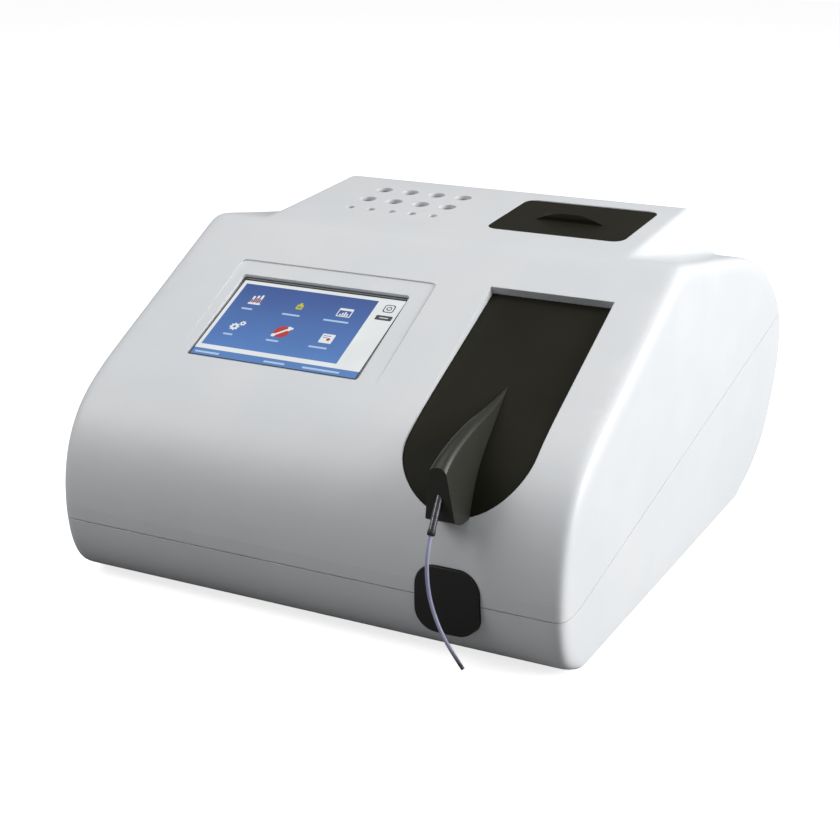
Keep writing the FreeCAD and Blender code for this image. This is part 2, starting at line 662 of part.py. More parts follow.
node("housing_screws", group([
    screw(x, y, "screw_pocket_depth") for x in ("-post_x", "post_x")
    for y in ("post_front", "post_rear")]))

# Steel base plate on the bosses, with holes for the feet's studs, and its screws.
PLATE_Z = "(wall + boss_height)"
PLATE_TOP = "(wall + boss_height + plate_thickness)"
PLACES = [(x, y) for x in ("-boss_x", "0", "boss_x") for y in ("foot_front", "foot_rear")]
plate_block = block(("-plate_half_width", "plate_front", PLATE_Z),
                    ("2 * plate_half_width", "plate_rear - plate_front", "plate_thickness"))
node("base_plate", cut(plate_block, [
    rod((x, y, PLATE_Z), "screw_radius", "plate_thickness") for x, y in PLACES]))


def top_screw(x, y, top, depth):
    """A pan-head screw driven downwards, with its head resting at a height."""
    head = rod((x, y, top), "screw_head_radius", "screw_head_height")
    shank = rod((x, y, "%s - %s" % (top, depth)), "screw_radius", depth)
    return fused([head, shank])


# Display: gasket round the glass, touch glass, display module and steel bracket.
glass_width = size("window_width") - 2 * size("gasket_width")
glass_length = size("window_length") - 2 * size("gasket_width")
glass_low = -size("glass_sink") - size("glass_thickness")
glass = tilted_plate(glass_frame, (size("window_left") + size("gasket_width"),
                                   size("gasket_width"), glass_low),
                     glass_width, glass_length, size("glass_thickness"),
                     size("window_round") - size("gasket_width") / 2)
node("touch_glass", formed(glass))
gasket = tilted_plate(glass_frame, (size("window_left"), 0, glass_low), size("window_width"),
                      size("window_length"), size("gasket_thickness"), size("window_round"))
node("display_gasket", formed(gasket.cut(glass)))
module_low = glass_low - size("module_thickness")
module = tilted_plate(glass_frame, (size("window_left") + size("module_margin"),
                                    size("module_margin"), module_low),
                      size("window_width") - 2 * size("module_margin"),
                      size("window_length") - 2 * size("module_margin"),
                      size("module_thickness"))
node("display_module", formed(module))
bracket_low = module_low - size("bracket_thickness")
bracket = tilted_plate(
    glass_frame, (size("window_left") - size("bracket_margin"), -size("bracket_margin"),
                  bracket_low),
    size("window_width") + 2 * size("bracket_margin"),
    size("window_length") + 2 * size("bracket_margin"), size("bracket_thickness"),
    size("bracket_post_radius"))
node("display_bracket", formed(bracket))

# Recess panel: a black moulding that lines the recess and follows the slanted face.
panel = recess_prism(-size("recess_clearance")).common(recess_top_form).cut(recess_panel_form)
node("recess_panel", formed(panel))

# Sipper head: a narrow ridge that grows out of the recess panel down to a nose over the sleeve.
# Each row gives a section: its place along the ridge, its low and high edges between the heel and
# the tip, and its widths there, as shares of the head's own sizes. Its face leans out at the top.
HEAD_SHARES = (
    (0, 0.17, 0.69, 0.97, 0.57), (0.14, 0.12, 0.79, 1.06, 0.5), (0.28, 0.19, 0.85, 1.06, 0.46),
    (0.45, 0.32, 0.9, 0.96, 0.43), (0.66, 0.56, 0.925, 0.76, 0.34), (0.82, 0.68, 0.95, 0.55, 0.22),
    (1, 0.8, 1, 0.3, 0.08))


def head_section(along, low, high, foot, top):
    """A cross-section of the sipper head, wide at its foot and round on top."""
    y = size("nose_y") + along * size("head_length")
    lean = math.tan(math.radians(size("nose_lean")))
    z_low = size("heel_z") + low * (size("tip_z") - size("heel_z"))
    z_high = size("heel_z") + high * (size("tip_z") - size("heel_z"))
    half_foot = foot * size("nose_width") / 2
    half_top = top * size("nose_width") / 2
    shoulder = z_high - size("ridge_round") * top
    places = [(-half_foot, z_low), (-half_top, shoulder), (0, z_high), (half_top, shoulder),
              (half_foot, z_low)]
    heel_left, left, crown, right, heel_right = [
        Vector(size("head_x") + x, y + lean * (z_high - z), z) for x, z in places]
    return Part.Wire([
        Part.makeLine(heel_left, left), Part.Arc(left, crown, right).toShape(),
        Part.makeLine(right, heel_right), Part.makeLine(heel_right, heel_left)])


wedge = grounded(Part.makeLoft([head_section(*row) for row in HEAD_SHARES], True, False))
sleeve_turn = math.radians(size("sleeve_tilt"))
sleeve_direction = Vector(0, -math.sin(sleeve_turn), -math.cos(sleeve_turn))
sleeve_start = Vector(size("head_x"), front_y + size("sleeve_y"), base_z + size("sleeve_z"))
sleeve_length = (size("nose_reach") + size("sleeve_y") - size("sleeve_radius")
                 * math.cos(sleeve_turn)) / math.sin(sleeve_turn)
sleeve_rod = Part.makeCylinder(size("sleeve_radius"), sleeve_length, sleeve_start,
                               sleeve_direction)
node("sipper_head", formed(carved(wedge, [recess_top_form, upper, sleeve_rod])))

# Steel sleeve in the nose, bored for the sipper tube.
sleeve_bore = Part.makeCylinder(size("sleeve_bore"), sleeve_length, sleeve_start,
                                sleeve_direction)
node("sipper_sleeve", formed(sleeve_rod.cut(sleeve_bore)))


def bent_tube(points, radius, bore=0):
    """A round tube along straight runs joined by tangent arcs, as large as their runs allow."""
    edges = []
    start = points[0]
    radii = []
    for before, corner, after in zip(points, points[1:], points[2:]):
        arrive, leave = corner - before, after - corner
        turn = arrive.getAngle(leave)
        shorter = min(arrive.Length, leave.Length)
        bend = ARC_SHARE * shorter / math.tan(turn / 2)
        reach = ARC_SHARE * shorter
        near = corner - Vector(arrive).normalize() * reach
        far = corner + Vector(leave).normalize() * reach
        inward = (Vector(leave).normalize() - Vector(arrive).normalize()).normalize()
        depth = bend / math.cos(turn / 2) - bend
        edges.append(Part.LineSegment(start, near).toShape())
        edges.append(Part.Arc(near, corner + inward * depth, far).toShape())
        start = far
        radii.append(round(bend, 1))
    edges.append(Part.LineSegment(start, points[-1]).toShape())
    path = Part.Wire(edges)
    heading = (points[1] - points[0]).normalize()
    solid = None
    for wall in [radius] + ([bore] if bore else []):
        ring = Part.Wire(Part.makeCircle(wall, points[0], heading))
        swept = path.makePipeShell([ring], True, False)
        solid = solid.cut(swept) if solid else swept
    area = math.pi * (radius ** 2 - bore ** 2)
    print("tube: radii %s, volume %.1f of %.1f" % (radii, solid.Volume, area * path.Length))
    return solid


ARC_SHARE = 0.45


def route(points):
    """Points given from the housing's bottom front edge, in the part's frame."""
    return [Vector(x, front_y + y, base_z + z) for x, y, z in points]


# Sipper tube: hangs from the sleeve in front of the key and bows to the operator's right.
SIPPER_POINTS = ((99.6, -46.2, 80), (98.9, -46.8, 69), (99.9, -46.8, 55.5), (102.6, -46.5, 44),
                 (107.2, -46.2, 32.5), (112.9, -46, 22.7), (121, -45.8, 12))
sleeve_end = sleeve_start + sleeve_direction * sleeve_length
hang = [sleeve_end] + route(SIPPER_POINTS)
node("sipper_tube", formed(bent_tube(hang, size("sipper_radius"), size("sipper_bore"))))

# Aspirate key: a crowned square cap on a stem that slides in a guide behind the front wall.


def key_cap():
    """The key's cap: a rounded square block with a crowned face and a softened rim."""
    cap = key_block(0, size("key_front"), size("key_depth"))
    chord = math.hypot(size("key_width"), size("key_height")) / 2
    radius = (chord ** 2 + size("key_crown") ** 2) / (2 * size("key_crown"))
    centre = Vector(size("key_x"), front_y + size("key_front") + radius,
                    base_z + size("key_z"))
    return cap.common(Part.makeSphere(radius, centre))


stem_end = size("guide_y") + size("guide_thickness") + 2 * size("clip_thickness")
key_back = size("key_front") + size("key_depth")
stem = rod_shape(size("key_x"), key_back, size("key_z"), size("key_stem_radius"),
                 stem_end - key_back, Vector(0, 1, 0))
flag = grounded(Part.makeBox(size("flag_thickness"), size("flag_length"), size("flag_height"),
                             Vector(size("key_x") - size("flag_thickness") / 2, stem_end,
                                    size("key_z") - size("flag_height") / 2)))
node("aspirate_key", formed(key_cap().fuse([stem, flag])))

GUIDE_BACK = "(guide_y + guide_thickness)"
guide_plate = block(("key_x - guide_width / 2", "guide_y", PLATE_TOP),
                    ("guide_width", "guide_thickness", "guide_top - %s" % PLATE_TOP))
guide_foot = block(("key_x - guide_width / 2", GUIDE_BACK, PLATE_TOP),
                   ("guide_width", "guide_foot", "guide_thickness"))
SENSOR_LOW = "(key_z - sensor_height)"
guide_shelf = block(("key_x - sensor_width / 2", GUIDE_BACK, "%s - guide_thickness" % SENSOR_LOW),
                    ("sensor_width", "shelf_width", "guide_thickness"))
node("key_guide", cut(fused([guide_plate, guide_foot, guide_shelf]), [
    rod(("key_x", "guide_y", "key_z"), "key_stem_radius + running_gap", "guide_thickness", "y")]))
node("key_clip", cut(
    rod(("key_x", GUIDE_BACK, "key_z"), "clip_radius", "clip_thickness", "y"),
    [rod(("key_x", GUIDE_BACK, "key_z"), "key_stem_radius", "clip_thickness", "y")]))


SPRING_STEPS = 4


def key_spring():
    """A coil spring round the stem, between the cap's back and the guide."""
    wire = size("spring_wire") / 2
    length = size("guide_y") - key_back - 2 * wire
    middle = size("spring_radius") - wire
    halves = int(size("spring_turns") * SPRING_STEPS * 2)
    ways = [2 * math.pi * i * size("spring_turns") / halves for i in range(halves + 1)]
    places = [Vector(middle * math.cos(a), middle * math.sin(a), length * i / halves)
              for i, a in enumerate(ways)]
    arcs = [Part.Arc(*places[i:i + 3]).toShape() for i in range(0, halves, 2)]
    ring = Part.Wire(Part.makeCircle(wire, places[0], arcs[0].tangentAt(0)))
    spring = Part.Wire(arcs).makePipeShell([ring], True, False)
    spring.rotate(Vector(0, 0, 0), Vector(1, 0, 0), -90)
    spring.translate(Vector(size("key_x"), key_back + wire, size("key_z")))
    print("spring: least gap %.2f" % (length / size("spring_turns") - 2 * wire))
    return grounded(spring)


node("key_spring", formed(key_spring()))

# Slotted optical sensor on the guide's shelf: the stem's flag enters its slot.
SENSOR_Y = "(guide_y + guide_thickness + shelf_width - sensor_depth)"
sensor_body = block(("key_x - sensor_width / 2", SENSOR_Y, SENSOR_LOW),
                    ("sensor_width", "sensor_depth", "sensor_height + flag_height"))
sensor_gap = block(("key_x - sensor_slot / 2", SENSOR_Y, "key_z - flag_height"),
                   ("sensor_slot", "sensor_depth", "3 * flag_height"))
node("key_sensor", cut(sensor_body, [sensor_gap]))

# Cuvette lid: a flat black flap with a low arched grip. Its pins enter at the middle of its rear
# corners' rounds, so that the corners turn down into the bay clear of the deck.


def cuvette_lid():
    """The lid's shape, in the deck's own slope."""
    thick = size("lid_thickness")
    left, width, length = size("lid_left"), size("lid_width"), size("lid_length")
    plan = Part.makeBox(width, length, thick, Vector(left, 0, -thick))
    plan = plan.makeFillet(size("lid_round"), upright_edges(plan))
    leaf = Part.makeBox(width, length - thick / 2, thick, Vector(left, 0, -thick))
    rear_edge = Part.makeCylinder(thick / 2, width, Vector(left, length - thick / 2, -thick / 2),
                                  Vector(1, 0, 0))
    leaf = leaf.fuse(rear_edge).common(plan)
    chord, rise = size("grip_width") / 2, size("grip_height")
    radius = (chord ** 2 + rise ** 2) / (2 * rise)
    middle = left + width / 2
    arch = Part.makeCylinder(radius, size("grip_depth"), Vector(middle, size("grip_start"),
                                                               rise - radius), Vector(0, 1, 0))
    slope = math.degrees(math.atan2(rise, size("grip_depth")))
    roof = Part.makeBox(2 * width, length, radius, Vector(left - width / 2, 0, -radius))
    roof.rotate(Vector(0, size("grip_depth"), 0), Vector(1, 0, 0), -slope)
    roof.translate(Vector(0, size("grip_start"), 0))
    above = Part.makeBox(2 * width, length, radius, Vector(left - width / 2, 0, -thick / 2))
    grip = arch.common(roof).common(above)
    return leaf.fuse(grip)


lid = cuvette_lid()
for x, way in ((size("lid_left"), 1), (size("lid_left") + size("lid_width"), -1)):
    lid = lid.cut(Part.makeCylinder(
        size("hinge_pin_radius") + size("running_gap"),
        size("hinge_pin_length") - size("hinge_pin_grip"),
        Vector(x, pin_hole_y, -size("lid_thickness") / 2), Vector(way, 0, 0)))
lid.Placement = lid_frame
node("cuvette_lid", formed(lid))
pins = []
for x, way in ((size("lid_left"), 1), (size("lid_left") + size("lid_width"), -1)):
    pin = Part.makeCylinder(size("hinge_pin_radius"), size("hinge_pin_length")
                            - size("lid_gap"), Vector(x - way * size("hinge_pin_grip"),
                                                      pin_hole_y, -size("lid_thickness") / 2),
                            Vector(way, 0, 0))
    pin.Placement = lid_frame
    pins.append(formed(pin))
node("lid_hinge_pins", group(pins))

# Cuvette bay: a black tray from the deck's underside down to the cell holder.
bay_x = size("lid_left") - size("lid_gap")
bay_y = deck_low[0] - size("lid_start") - 2 * size("lid_gap")
bay_width = size("lid_width") + 2 * size("lid_gap")
bay_depth = size("lid_length") + 3 * size("lid_gap")


def bay_box(growth, low):
    """The bay's rectangular space, grown by a wall, from a height up through the deck."""
    box = Part.makeBox(bay_width + 2 * growth, bay_depth + 2 * growth, size("crest_height"),
                       Vector(bay_x - growth, bay_y - growth, low))
    return grounded(box)


bay = bay_box(size("bay_wall"), size("bay_floor")).common(deck_form)
bay_window = rod_shape(size("holder_x"), size("beam_y"), size("bay_floor"), size("cell_window"),
                       size("bay_wall"), Vector(0, 0, 1))
bay = carved(bay, [bay_box(0, size("bay_floor") + size("bay_wall")), bay_window,
                   hinge_cheeks.common(outer_form)])
node("cuvette_bay", formed(bay))

# Heated aluminium block under the wells, and its heater pad.
well_block = grounded(Part.makeBox(
    size("block_width"), size("block_depth"), size("crest_height"),
    Vector(size("block_left"), size("block_front"), size("block_bottom")))).common(deck_form)
node("incubator_block", formed(carved(well_block, well_bores(0))))
node("heater_pad", block(
    ("block_left + heater_margin", "block_front + heater_margin",
     "block_bottom - heater_thickness"),
    ("block_width - 2 * heater_margin", "block_depth - 2 * heater_margin", "heater_thickness")))

# Optical bench: a cast plate on legs that stand on the base plate, with an upright motor plate.
LEGS = [(x, y) for x in ("bench_left + leg_inset", "bench_left + bench_width - leg_inset")
        for y in ("bench_front + leg_inset", "bench_front + bench_depth - leg_inset")]
WHEEL = ("wheel_y", "beam_z")
PLATE_X = "(motor_x - motor_plate)"
bench_plate = block(("bench_left", "bench_front", "bench_top - bench_thickness"),
                    ("bench_width", "bench_depth", "bench_thickness"))
motor_plate = block((PLATE_X, "wheel_y - motor_plate_width / 2", "bench_top"),
                    ("motor_plate", "motor_plate_width", "beam_z - bench_top + motor_radius"))
node("optical_bench", cut(fused([bench_plate, motor_plate] + [
    rod((x, y, PLATE_TOP), "leg_radius", "bench_top - bench_thickness - %s" % PLATE_TOP)
    for x, y in LEGS]), [rod((PLATE_X,) + WHEEL, "2 * shaft_radius", "motor_plate", "x")]))

# Cell holder with its well and light path, and the flow cell in it.
BEAM = ("beam_y", "beam_z")
holder_block = block(("holder_x - holder_size / 2", "beam_y - holder_size / 2", "bench_top"),
                     ("holder_size", "holder_size", "bay_floor - bench_top"))
cell_well = block(("holder_x - cell_size / 2 - cell_gap", "beam_y - cell_size / 2 - cell_gap",
                   "cell_bottom"),
                  ("cell_size + 2 * cell_gap", "cell_size + 2 * cell_gap", "bay_floor"))
node("cell_holder", cut(holder_block, [cell_well, rod(
    ("holder_x - holder_size / 2",) + BEAM, "beam_radius", "holder_size", "x")]))
CELL_TOP = "(bay_floor + cell_rise)"
cell_body = block(("holder_x - cell_size / 2", "beam_y - cell_size / 2", "cell_bottom"),
                  ("cell_size", "cell_size", "%s - cell_bottom" % CELL_TOP))
necks = [rod(("holder_x %s cell_size / 4" % sign, "beam_y", CELL_TOP), "cell_neck_radius",
             "cell_neck") for sign in ("-", "+")]
node("flow_cell", fused([cell_body] + necks))

# Peltier module on the holder's front face, and the finned sink on it.
HOLDER_LEFT = "(holder_x - holder_size / 2)"
HOLDER_FRONT = "(beam_y - holder_size / 2)"
node("peltier_module", block((HOLDER_LEFT, "%s - peltier_thickness" % HOLDER_FRONT, "bench_top"),
                             ("holder_size", "peltier_thickness", "holder_size")))
SINK_BACK = "(beam_y - holder_size / 2 - peltier_thickness)"
fin_count = int(size("holder_size") // size("fin_count_pitch")) + 1
fins = [block(("%s + %d * fin_count_pitch" % (HOLDER_LEFT, i), "%s - sink_depth" % SINK_BACK,
               "bench_top"), ("fin_thickness", "sink_depth - sink_base", "holder_size"))
        for i in range(fin_count)]
sink_plate = block((HOLDER_LEFT, "%s - sink_base" % SINK_BACK, "bench_top"),
                   ("holder_size", "sink_base", "holder_size"))
node("heat_sink", fused([sink_plate] + fins))

# Detector: an upright board with a photodiode that faces the light path.
detector_plate = block(("detector_x - board_thickness", "beam_y - detector_size / 2", "bench_top"),
                       ("board_thickness", "detector_size", "detector_height"))
node("detector_board", fused([detector_plate, rod(("detector_x",) + BEAM, "diode_radius",
                                                  "diode_length", "x")]))

# Filter wheel with its filters, turned by a small motor on the bench's upright plate.


def filter_places():
    """Centres of the filters, evenly round the wheel with one in the light path."""
    places = []
    for i in range(8):
        angle = i * math.pi / 4
        places.append((size("wheel_y") - size("filter_orbit") * math.cos(angle),
                       size("beam_z") + size("filter_orbit") * math.sin(angle)))
    return places


def wheel_shape():
    """The wheel's disc on its hub and shaft, bored for its filters."""
    along = Vector(1, 0, 0)
    x, y, z = size("wheel_x"), size("wheel_y"), size("beam_z")
    disc = rod_shape(x, y, z, size("wheel_radius"), size("wheel_thickness"), along)
    hub = rod_shape(x - size("hub_length"), y, z, size("hub_radius"),
                    size("wheel_thickness") + 2 * size("hub_length"), along)
    bores = [rod_shape(x, fy, fz, size("filter_radius"), size("wheel_thickness"), along)
             for fy, fz in filter_places()]
    shaft = rod_shape(x, y, z, size("shaft_radius"), size("shaft_length"), along)
    return carved(disc.fuse([hub, shaft]), bores)


node("filter_wheel", formed(wheel_shape()))
filter_x = size("wheel_x") + (size("wheel_thickness") - size("filter_thickness")) / 2
node("interference_filters", group([
    formed(rod_shape(filter_x, y, z, size("filter_radius"), size("filter_thickness"),
                     Vector(1, 0, 0))) for y, z in filter_places()]))
motor_can = rod(("motor_x",) + WHEEL, "motor_radius", "motor_length", "x")
node("filter_motor", cut(motor_can, [
    rod(("motor_x",) + WHEEL, "shaft_radius + running_gap", "motor_length", "x")]))

# Lens barrel on its foot, with the condenser lens in its mouth.
barrel_foot = block(("barrel_x", "beam_y - barrel_radius / 2", "bench_top"),
                    ("barrel_length", "barrel_radius", "beam_z - bench_top - lens_radius"))
barrel_tube = rod(("barrel_x",) + BEAM, "barrel_radius", "barrel_length", "x")
lens_seat = rod(("barrel_x + barrel_length - lens_thickness",) + BEAM, "lens_radius",
                "lens_thickness", "x")
barrel_bore = rod(("barrel_x",) + BEAM, "lens_radius - cell_neck_radius",
                  "barrel_length", "x")
node("lens_barrel", cut(fused([barrel_tube, barrel_foot]), [barrel_bore, lens_seat]))
node("condenser_lens", rod(("barrel_x + barrel_length - lens_thickness",) + BEAM, "lens_radius",
                           "lens_thickness", "x"))

# Lamp house, open on top, with the lamp's ceramic socket and the halogen lamp.
LAMP_Y = "(beam_y - lamp_box_depth / 2)"
LAMP_X = "(lamp_box_x + lamp_box_width / 2)"
lamp_box = block(("lamp_box_x", LAMP_Y, "bench_top"),
                 ("lamp_box_width", "lamp_box_depth", "lamp_box_height"))
lamp_space = block(("lamp_box_x + lamp_box_wall", "%s + lamp_box_wall" % LAMP_Y, "bench_top"),
                   ("lamp_box_width - 2 * lamp_box_wall", "lamp_box_depth - 2 * lamp_box_wall",
                    "2 * lamp_box_height"))
node("lamp_house", cut(lamp_box, [lamp_space, rod(
    ("lamp_box_x",) + BEAM, "lens_radius", "lamp_box_wall", "x")]))
node("lamp_socket", rod((LAMP_X, "beam_y", "bench_top"), "socket_radius", "socket_height"))
lamp_dome = doc.addObject("Part::Sphere", "lamp_dome")
bind(lamp_dome, Radius="lamp_radius")
place(lamp_dome, LAMP_X, "beam_y", "bench_top + socket_height + lamp_height - lamp_radius")
node("halogen_lamp", fused([lamp_dome, rod((LAMP_X, "beam_y", "bench_top + socket_height"),
                                           "lamp_radius", "lamp_height - lamp_radius")]))

# Peristaltic pump: a folded plate on the base plate, motor behind it, head and rotor in front.
PUMP = ("pump_x", "pump_z")
HEAD_Y = "(pump_plate_y - head_depth)"
ROTOR_Y = "(pump_plate_y - (head_depth + rotor_length) / 2)"
upright = block(("pump_x - pump_plate_width / 2", "pump_plate_y", PLATE_TOP),
                ("pump_plate_width", "pump_plate", "pump_plate_top - %s" % PLATE_TOP))
foot = block(("pump_x - pump_plate_width / 2", "pump_plate_y + pump_plate", PLATE_TOP),
             ("pump_plate_width", "pump_foot", "pump_plate"))
shaft_hole = rod(("pump_x", "pump_plate_y", "pump_z"), "2 * drive_shaft", "pump_plate", "y")
node("pump_bracket", cut(fused([upright, foot]), [shaft_hole]))
node("pump_motor", cut(
    rod(("pump_x", "pump_plate_y + pump_plate", "pump_z"), "pump_motor_radius",
        "pump_motor_length", "y"),
    [rod(("pump_x", "pump_plate_y + pump_plate", "pump_z"), "drive_shaft + running_gap",
         "pump_foot", "y")]))

tube_orbit = (size("roller_orbit") + size("roller_radius") + size("roller_slack")
              + size("tube_radius"))
track_radius = tube_orbit + size("tube_radius")
ROLLERS = 3


def roller_places():
    """Centres of the rollers round the pump's axis, the first one on top."""
    places = []
    for i in range(ROLLERS):
        angle = 2 * math.pi * i / ROLLERS
        places.append((size("pump_x") + size("roller_orbit") * math.sin(angle),
                       size("pump_z") + size("roller_orbit") * math.cos(angle)))
    return places


def pump_rotor():
    """Two discs on a hub, joined by three rollers, with the drive shaft."""
    y = size("pump_plate_y") - (size("head_depth") + size("rotor_length")) / 2
    x, z, back = size("pump_x"), size("pump_z"), Vector(0, 1, 0)
    discs = [rod_shape(x, y + step, z, size("rotor_radius"), size("rotor_disc"), back)
             for step in (0, size("rotor_length") - size("rotor_disc"))]
    hub = rod_shape(x, y, z, size("rotor_hub"), size("rotor_length"), back)
    shaft = rod_shape(x, y, z, size("drive_shaft"), size("pump_plate_y") - y
                      + size("pump_foot") / 2, back)
    rollers = [rod_shape(px, y, pz, size("roller_radius"), size("rotor_length"), back)
               for px, pz in roller_places()]
    return discs[0].fuse([discs[1], hub, shaft] + rollers)


node("pump_rotor", formed(pump_rotor()))


def pump_head():
    """The head's block, round over the top, with the track and two straight tube channels."""
    x, z = size("pump_x"), size("pump_z")
    y = size("pump_plate_y") - size("head_depth")
    outer = track_radius + size("track_rim")
    dome = rod_shape(x, y, z, outer, size("head_depth"), Vector(0, 1, 0))
    body = grounded(Part.makeBox(2 * outer, size("head_depth"), size("head_drop"),
                                 Vector(x - outer, y, z - size("head_drop"))))
    track = rod_shape(x, y, z, track_radius, size("head_depth"), Vector(0, 1, 0))
    channel = grounded(Part.makeBox(2 * track_radius, size("head_depth"), 2 * outer,
                                    Vector(x - track_radius, y, z - 2 * outer)))
    return dome.fuse(body).cut(track.fuse(channel))


node("pump_head", formed(pump_head()))

# Pump tubing: a U in the track with straight legs down to two joiners.
leg = size("head_drop")
mid_y = size("pump_plate_y") - size("head_depth") / 2
pump_arc = Part.Arc(*route([
    (size("pump_x") - tube_orbit, mid_y, size("pump_z")),
    (size("pump_x"), mid_y, size("pump_z") + tube_orbit),
    (size("pump_x") + tube_orbit, mid_y, size("pump_z"))])).toShape()
leg_points = route([(size("pump_x") - tube_orbit, mid_y, size("pump_z") - leg),
                    (size("pump_x") - tube_orbit, mid_y, size("pump_z")),
                    (size("pump_x") + tube_orbit, mid_y, size("pump_z")),
                    (size("pump_x") + tube_orbit, mid_y, size("pump_z") - leg)])
pump_path = Part.Wire([Part.LineSegment(leg_points[0], leg_points[1]).toShape(), pump_arc,
                       Part.LineSegment(leg_points[2], leg_points[3]).toShape()])
pump_rings = [Part.Wire(Part.makeCircle(radius, leg_points[0], Vector(0, 0, 1)))
              for radius in (size("tube_radius"), size("tube_bore"))]
pump_tube, pump_bore = [pump_path.makePipeShell([ring], True, False) for ring in pump_rings]
node("pump_tubing", formed(pump_tube.cut(pump_bore)))

# Power supply: a ventilated steel case on the base plate.
supply = block(("supply_left", "supply_front", PLATE_TOP),
               ("supply_width", "supply_depth", "supply_height"))
supply_space = block(("supply_left + supply_wall", "supply_front + supply_wall", PLATE_TOP),
                     ("supply_width - 2 * supply_wall", "supply_depth - 2 * supply_wall",
                      "supply_height - supply_wall"))
slot_count = int((size("supply_depth") - 2 * size("slot_pitch")) // size("slot_pitch"))
slots = [block(("supply_left + slot_pitch", "supply_front + %d * slot_pitch" % (i + 1), PLATE_TOP),
               ("supply_width - 2 * slot_pitch", "slot_width", "2 * supply_height"))
         for i in range(slot_count)]
node("power_supply", cut(supply, [supply_space] + slots))

# Main board on four standoffs, with its screws, processor and connectors.
STANDS = [(x, y) for x in ("board_left + standoff_inset",
                           "board_left + board_width - standoff_inset")
          for y in ("board_front + standoff_inset", "board_front + board_depth - standoff_inset")]
BOARD_Z = "(%s + standoff_height)" % PLATE_TOP
BOARD_TOP = "(%s + standoff_height + board_thickness)" % PLATE_TOP
node("board_standoffs", group([
    cut(rod((x, y, PLATE_TOP), "standoff_radius", "standoff_height"),
        [rod((x, y, PLATE_TOP), "screw_radius", "standoff_height")]) for x, y in STANDS]))
board_blank = block(("board_left", "board_front", BOARD_Z),
                    ("board_width", "board_depth", "board_thickness"))
node("main_board", cut(board_blank, [
    rod((x, y, BOARD_Z), "screw_radius", "board_thickness") for x, y in STANDS]))
chips = [block(("board_left + %d * board_width / 4" % i, "board_front + board_depth / 2", BOARD_TOP),
               ("chip_size", "chip_size", "chip_height")) for i in (1, 2, 3)]
headers = [block(("board_left + %d * board_width / 2 + chip_size / 2" % i,
                  "board_front + board_depth - 3 * connector_depth", BOARD_TOP),
                 ("connector_length", "connector_depth", "connector_height")) for i in (0, 1)]
node("board_components", group(chips + headers))
node("chassis_screws", group([
    top_screw(x, y, PLATE_TOP, "(plate_thickness + chassis_screw_depth)") for x, y in PLACES] + [
    top_screw(x, y, BOARD_TOP, "(board_thickness + chassis_screw_depth)") for x, y in STANDS]))

# Rear panel: a steel plate against the recess's ledge, with cut-outs for its fittings.
PANEL_Y = "(rear_floor - wall - panel_thickness)"
PANEL_OUT = "(rear_floor - wall)"
panel_blank = block(("-rear_half_width + panel_screw_inset / 2", PANEL_Y,
                     "rear_bottom + panel_screw_inset / 2"),
                    ("2 * rear_half_width - panel_screw_inset", "panel_thickness",
                     "rear_top - rear_bottom - panel_screw_inset"))


def through(x, z, width, height):
    """A rectangular cut-out in the rear panel, centred at a place."""
    return block(("%s - %s / 2" % (x, width), PANEL_Y, "%s - %s / 2" % (z, height)),
                 (width, "panel_thickness", height))


node("rear_panel", cut(panel_blank, [
    rod(("fan_x", PANEL_Y, "fan_z"), "fan_bore", "panel_thickness", "y"),
    through("inlet_x", "inlet_z", "inlet_width", "inlet_height"),
    through("switch_x", "switch_z", "(switch_width - 2 * switch_lip)",
            "(switch_height - 2 * switch_lip)"),
    through("serial_x", "serial_z", "serial_shell_width", "serial_shell_height"),
    through("usb_x", "usb_z", "usb_width", "usb_height"),
    rod(("fuse_x", PANEL_Y, "fuse_z"), "fuse_body_radius", "panel_thickness", "y"),
    rod(("waste_x", PANEL_Y, "waste_z"), "barb_radius", "panel_thickness", "y")]))

# Cooling fan: frame with a spider on its inner side, rotor, and a wire guard outside.
FAN_Y = "(rear_floor - wall - panel_thickness - fan_depth)"
fan_box = block(("fan_x - fan_size / 2", FAN_Y, "fan_z - fan_size / 2"),
                ("fan_size", "fan_depth", "fan_size"))
fan_tunnel = rod(("fan_x", FAN_Y, "fan_z"), "fan_bore", "fan_depth", "y")
fan_ring = cut(fan_box, [fan_tunnel])
fan_arms = [block(("fan_x - fan_bore", FAN_Y, "fan_z - fan_arm / 2"),
                  ("2 * fan_bore", "fan_spider", "fan_arm")),
            block(("fan_x - fan_arm / 2", FAN_Y, "fan_z - fan_bore"),
                  ("fan_arm", "fan_spider", "2 * fan_bore")),
            rod(("fan_x", FAN_Y, "fan_z"), "fan_hub", "fan_spider", "y"),
            rod(("fan_x", FAN_Y, "fan_z"), "shaft_radius", "fan_spider + fan_hub / 2", "y")]
node("fan_frame", fused([fan_ring] + fan_arms))
fan_y = (size("rear_floor") - size("wall") - size("panel_thickness") - size("fan_depth")
         + size("fan_spider") + size("roller_slack"))


def fan_rotor():
    """A hub with seven pitched blades, bored for the pin on the frame's spider."""
    along = Vector(0, 1, 0)
    x, z = size("fan_x"), size("fan_z")
    hub = rod_shape(x, fan_y, z, size("fan_hub"), size("fan_hub_depth"), along)
    blades = []
    for i in range(7):
        blade = Part.makeBox(size("fan_blade"), size("fan_hub_depth"), size("fan_tip"),
                             Vector(-size("fan_blade") / 2, -size("fan_hub_depth") / 2, 0))
        blade.rotate(Vector(), Vector(0, 0, 1), 35)
        blade.rotate(Vector(), Vector(0, 1, 0), i * 360 / 7)
        blade.translate(Vector(x, fan_y + size("fan_hub_depth") / 2, z))
        blades.append(grounded(blade))
    sweep = rod_shape(x, fan_y, z, size("fan_tip"), size("fan_hub_depth"), along)
    pin_bore = rod_shape(x, fan_y, z, size("shaft_radius") + size("running_gap"),
                         size("fan_hub") / 2 + size("fan_spider"), along)
    return hub.fuse(blades).common(sweep).cut(pin_bore)


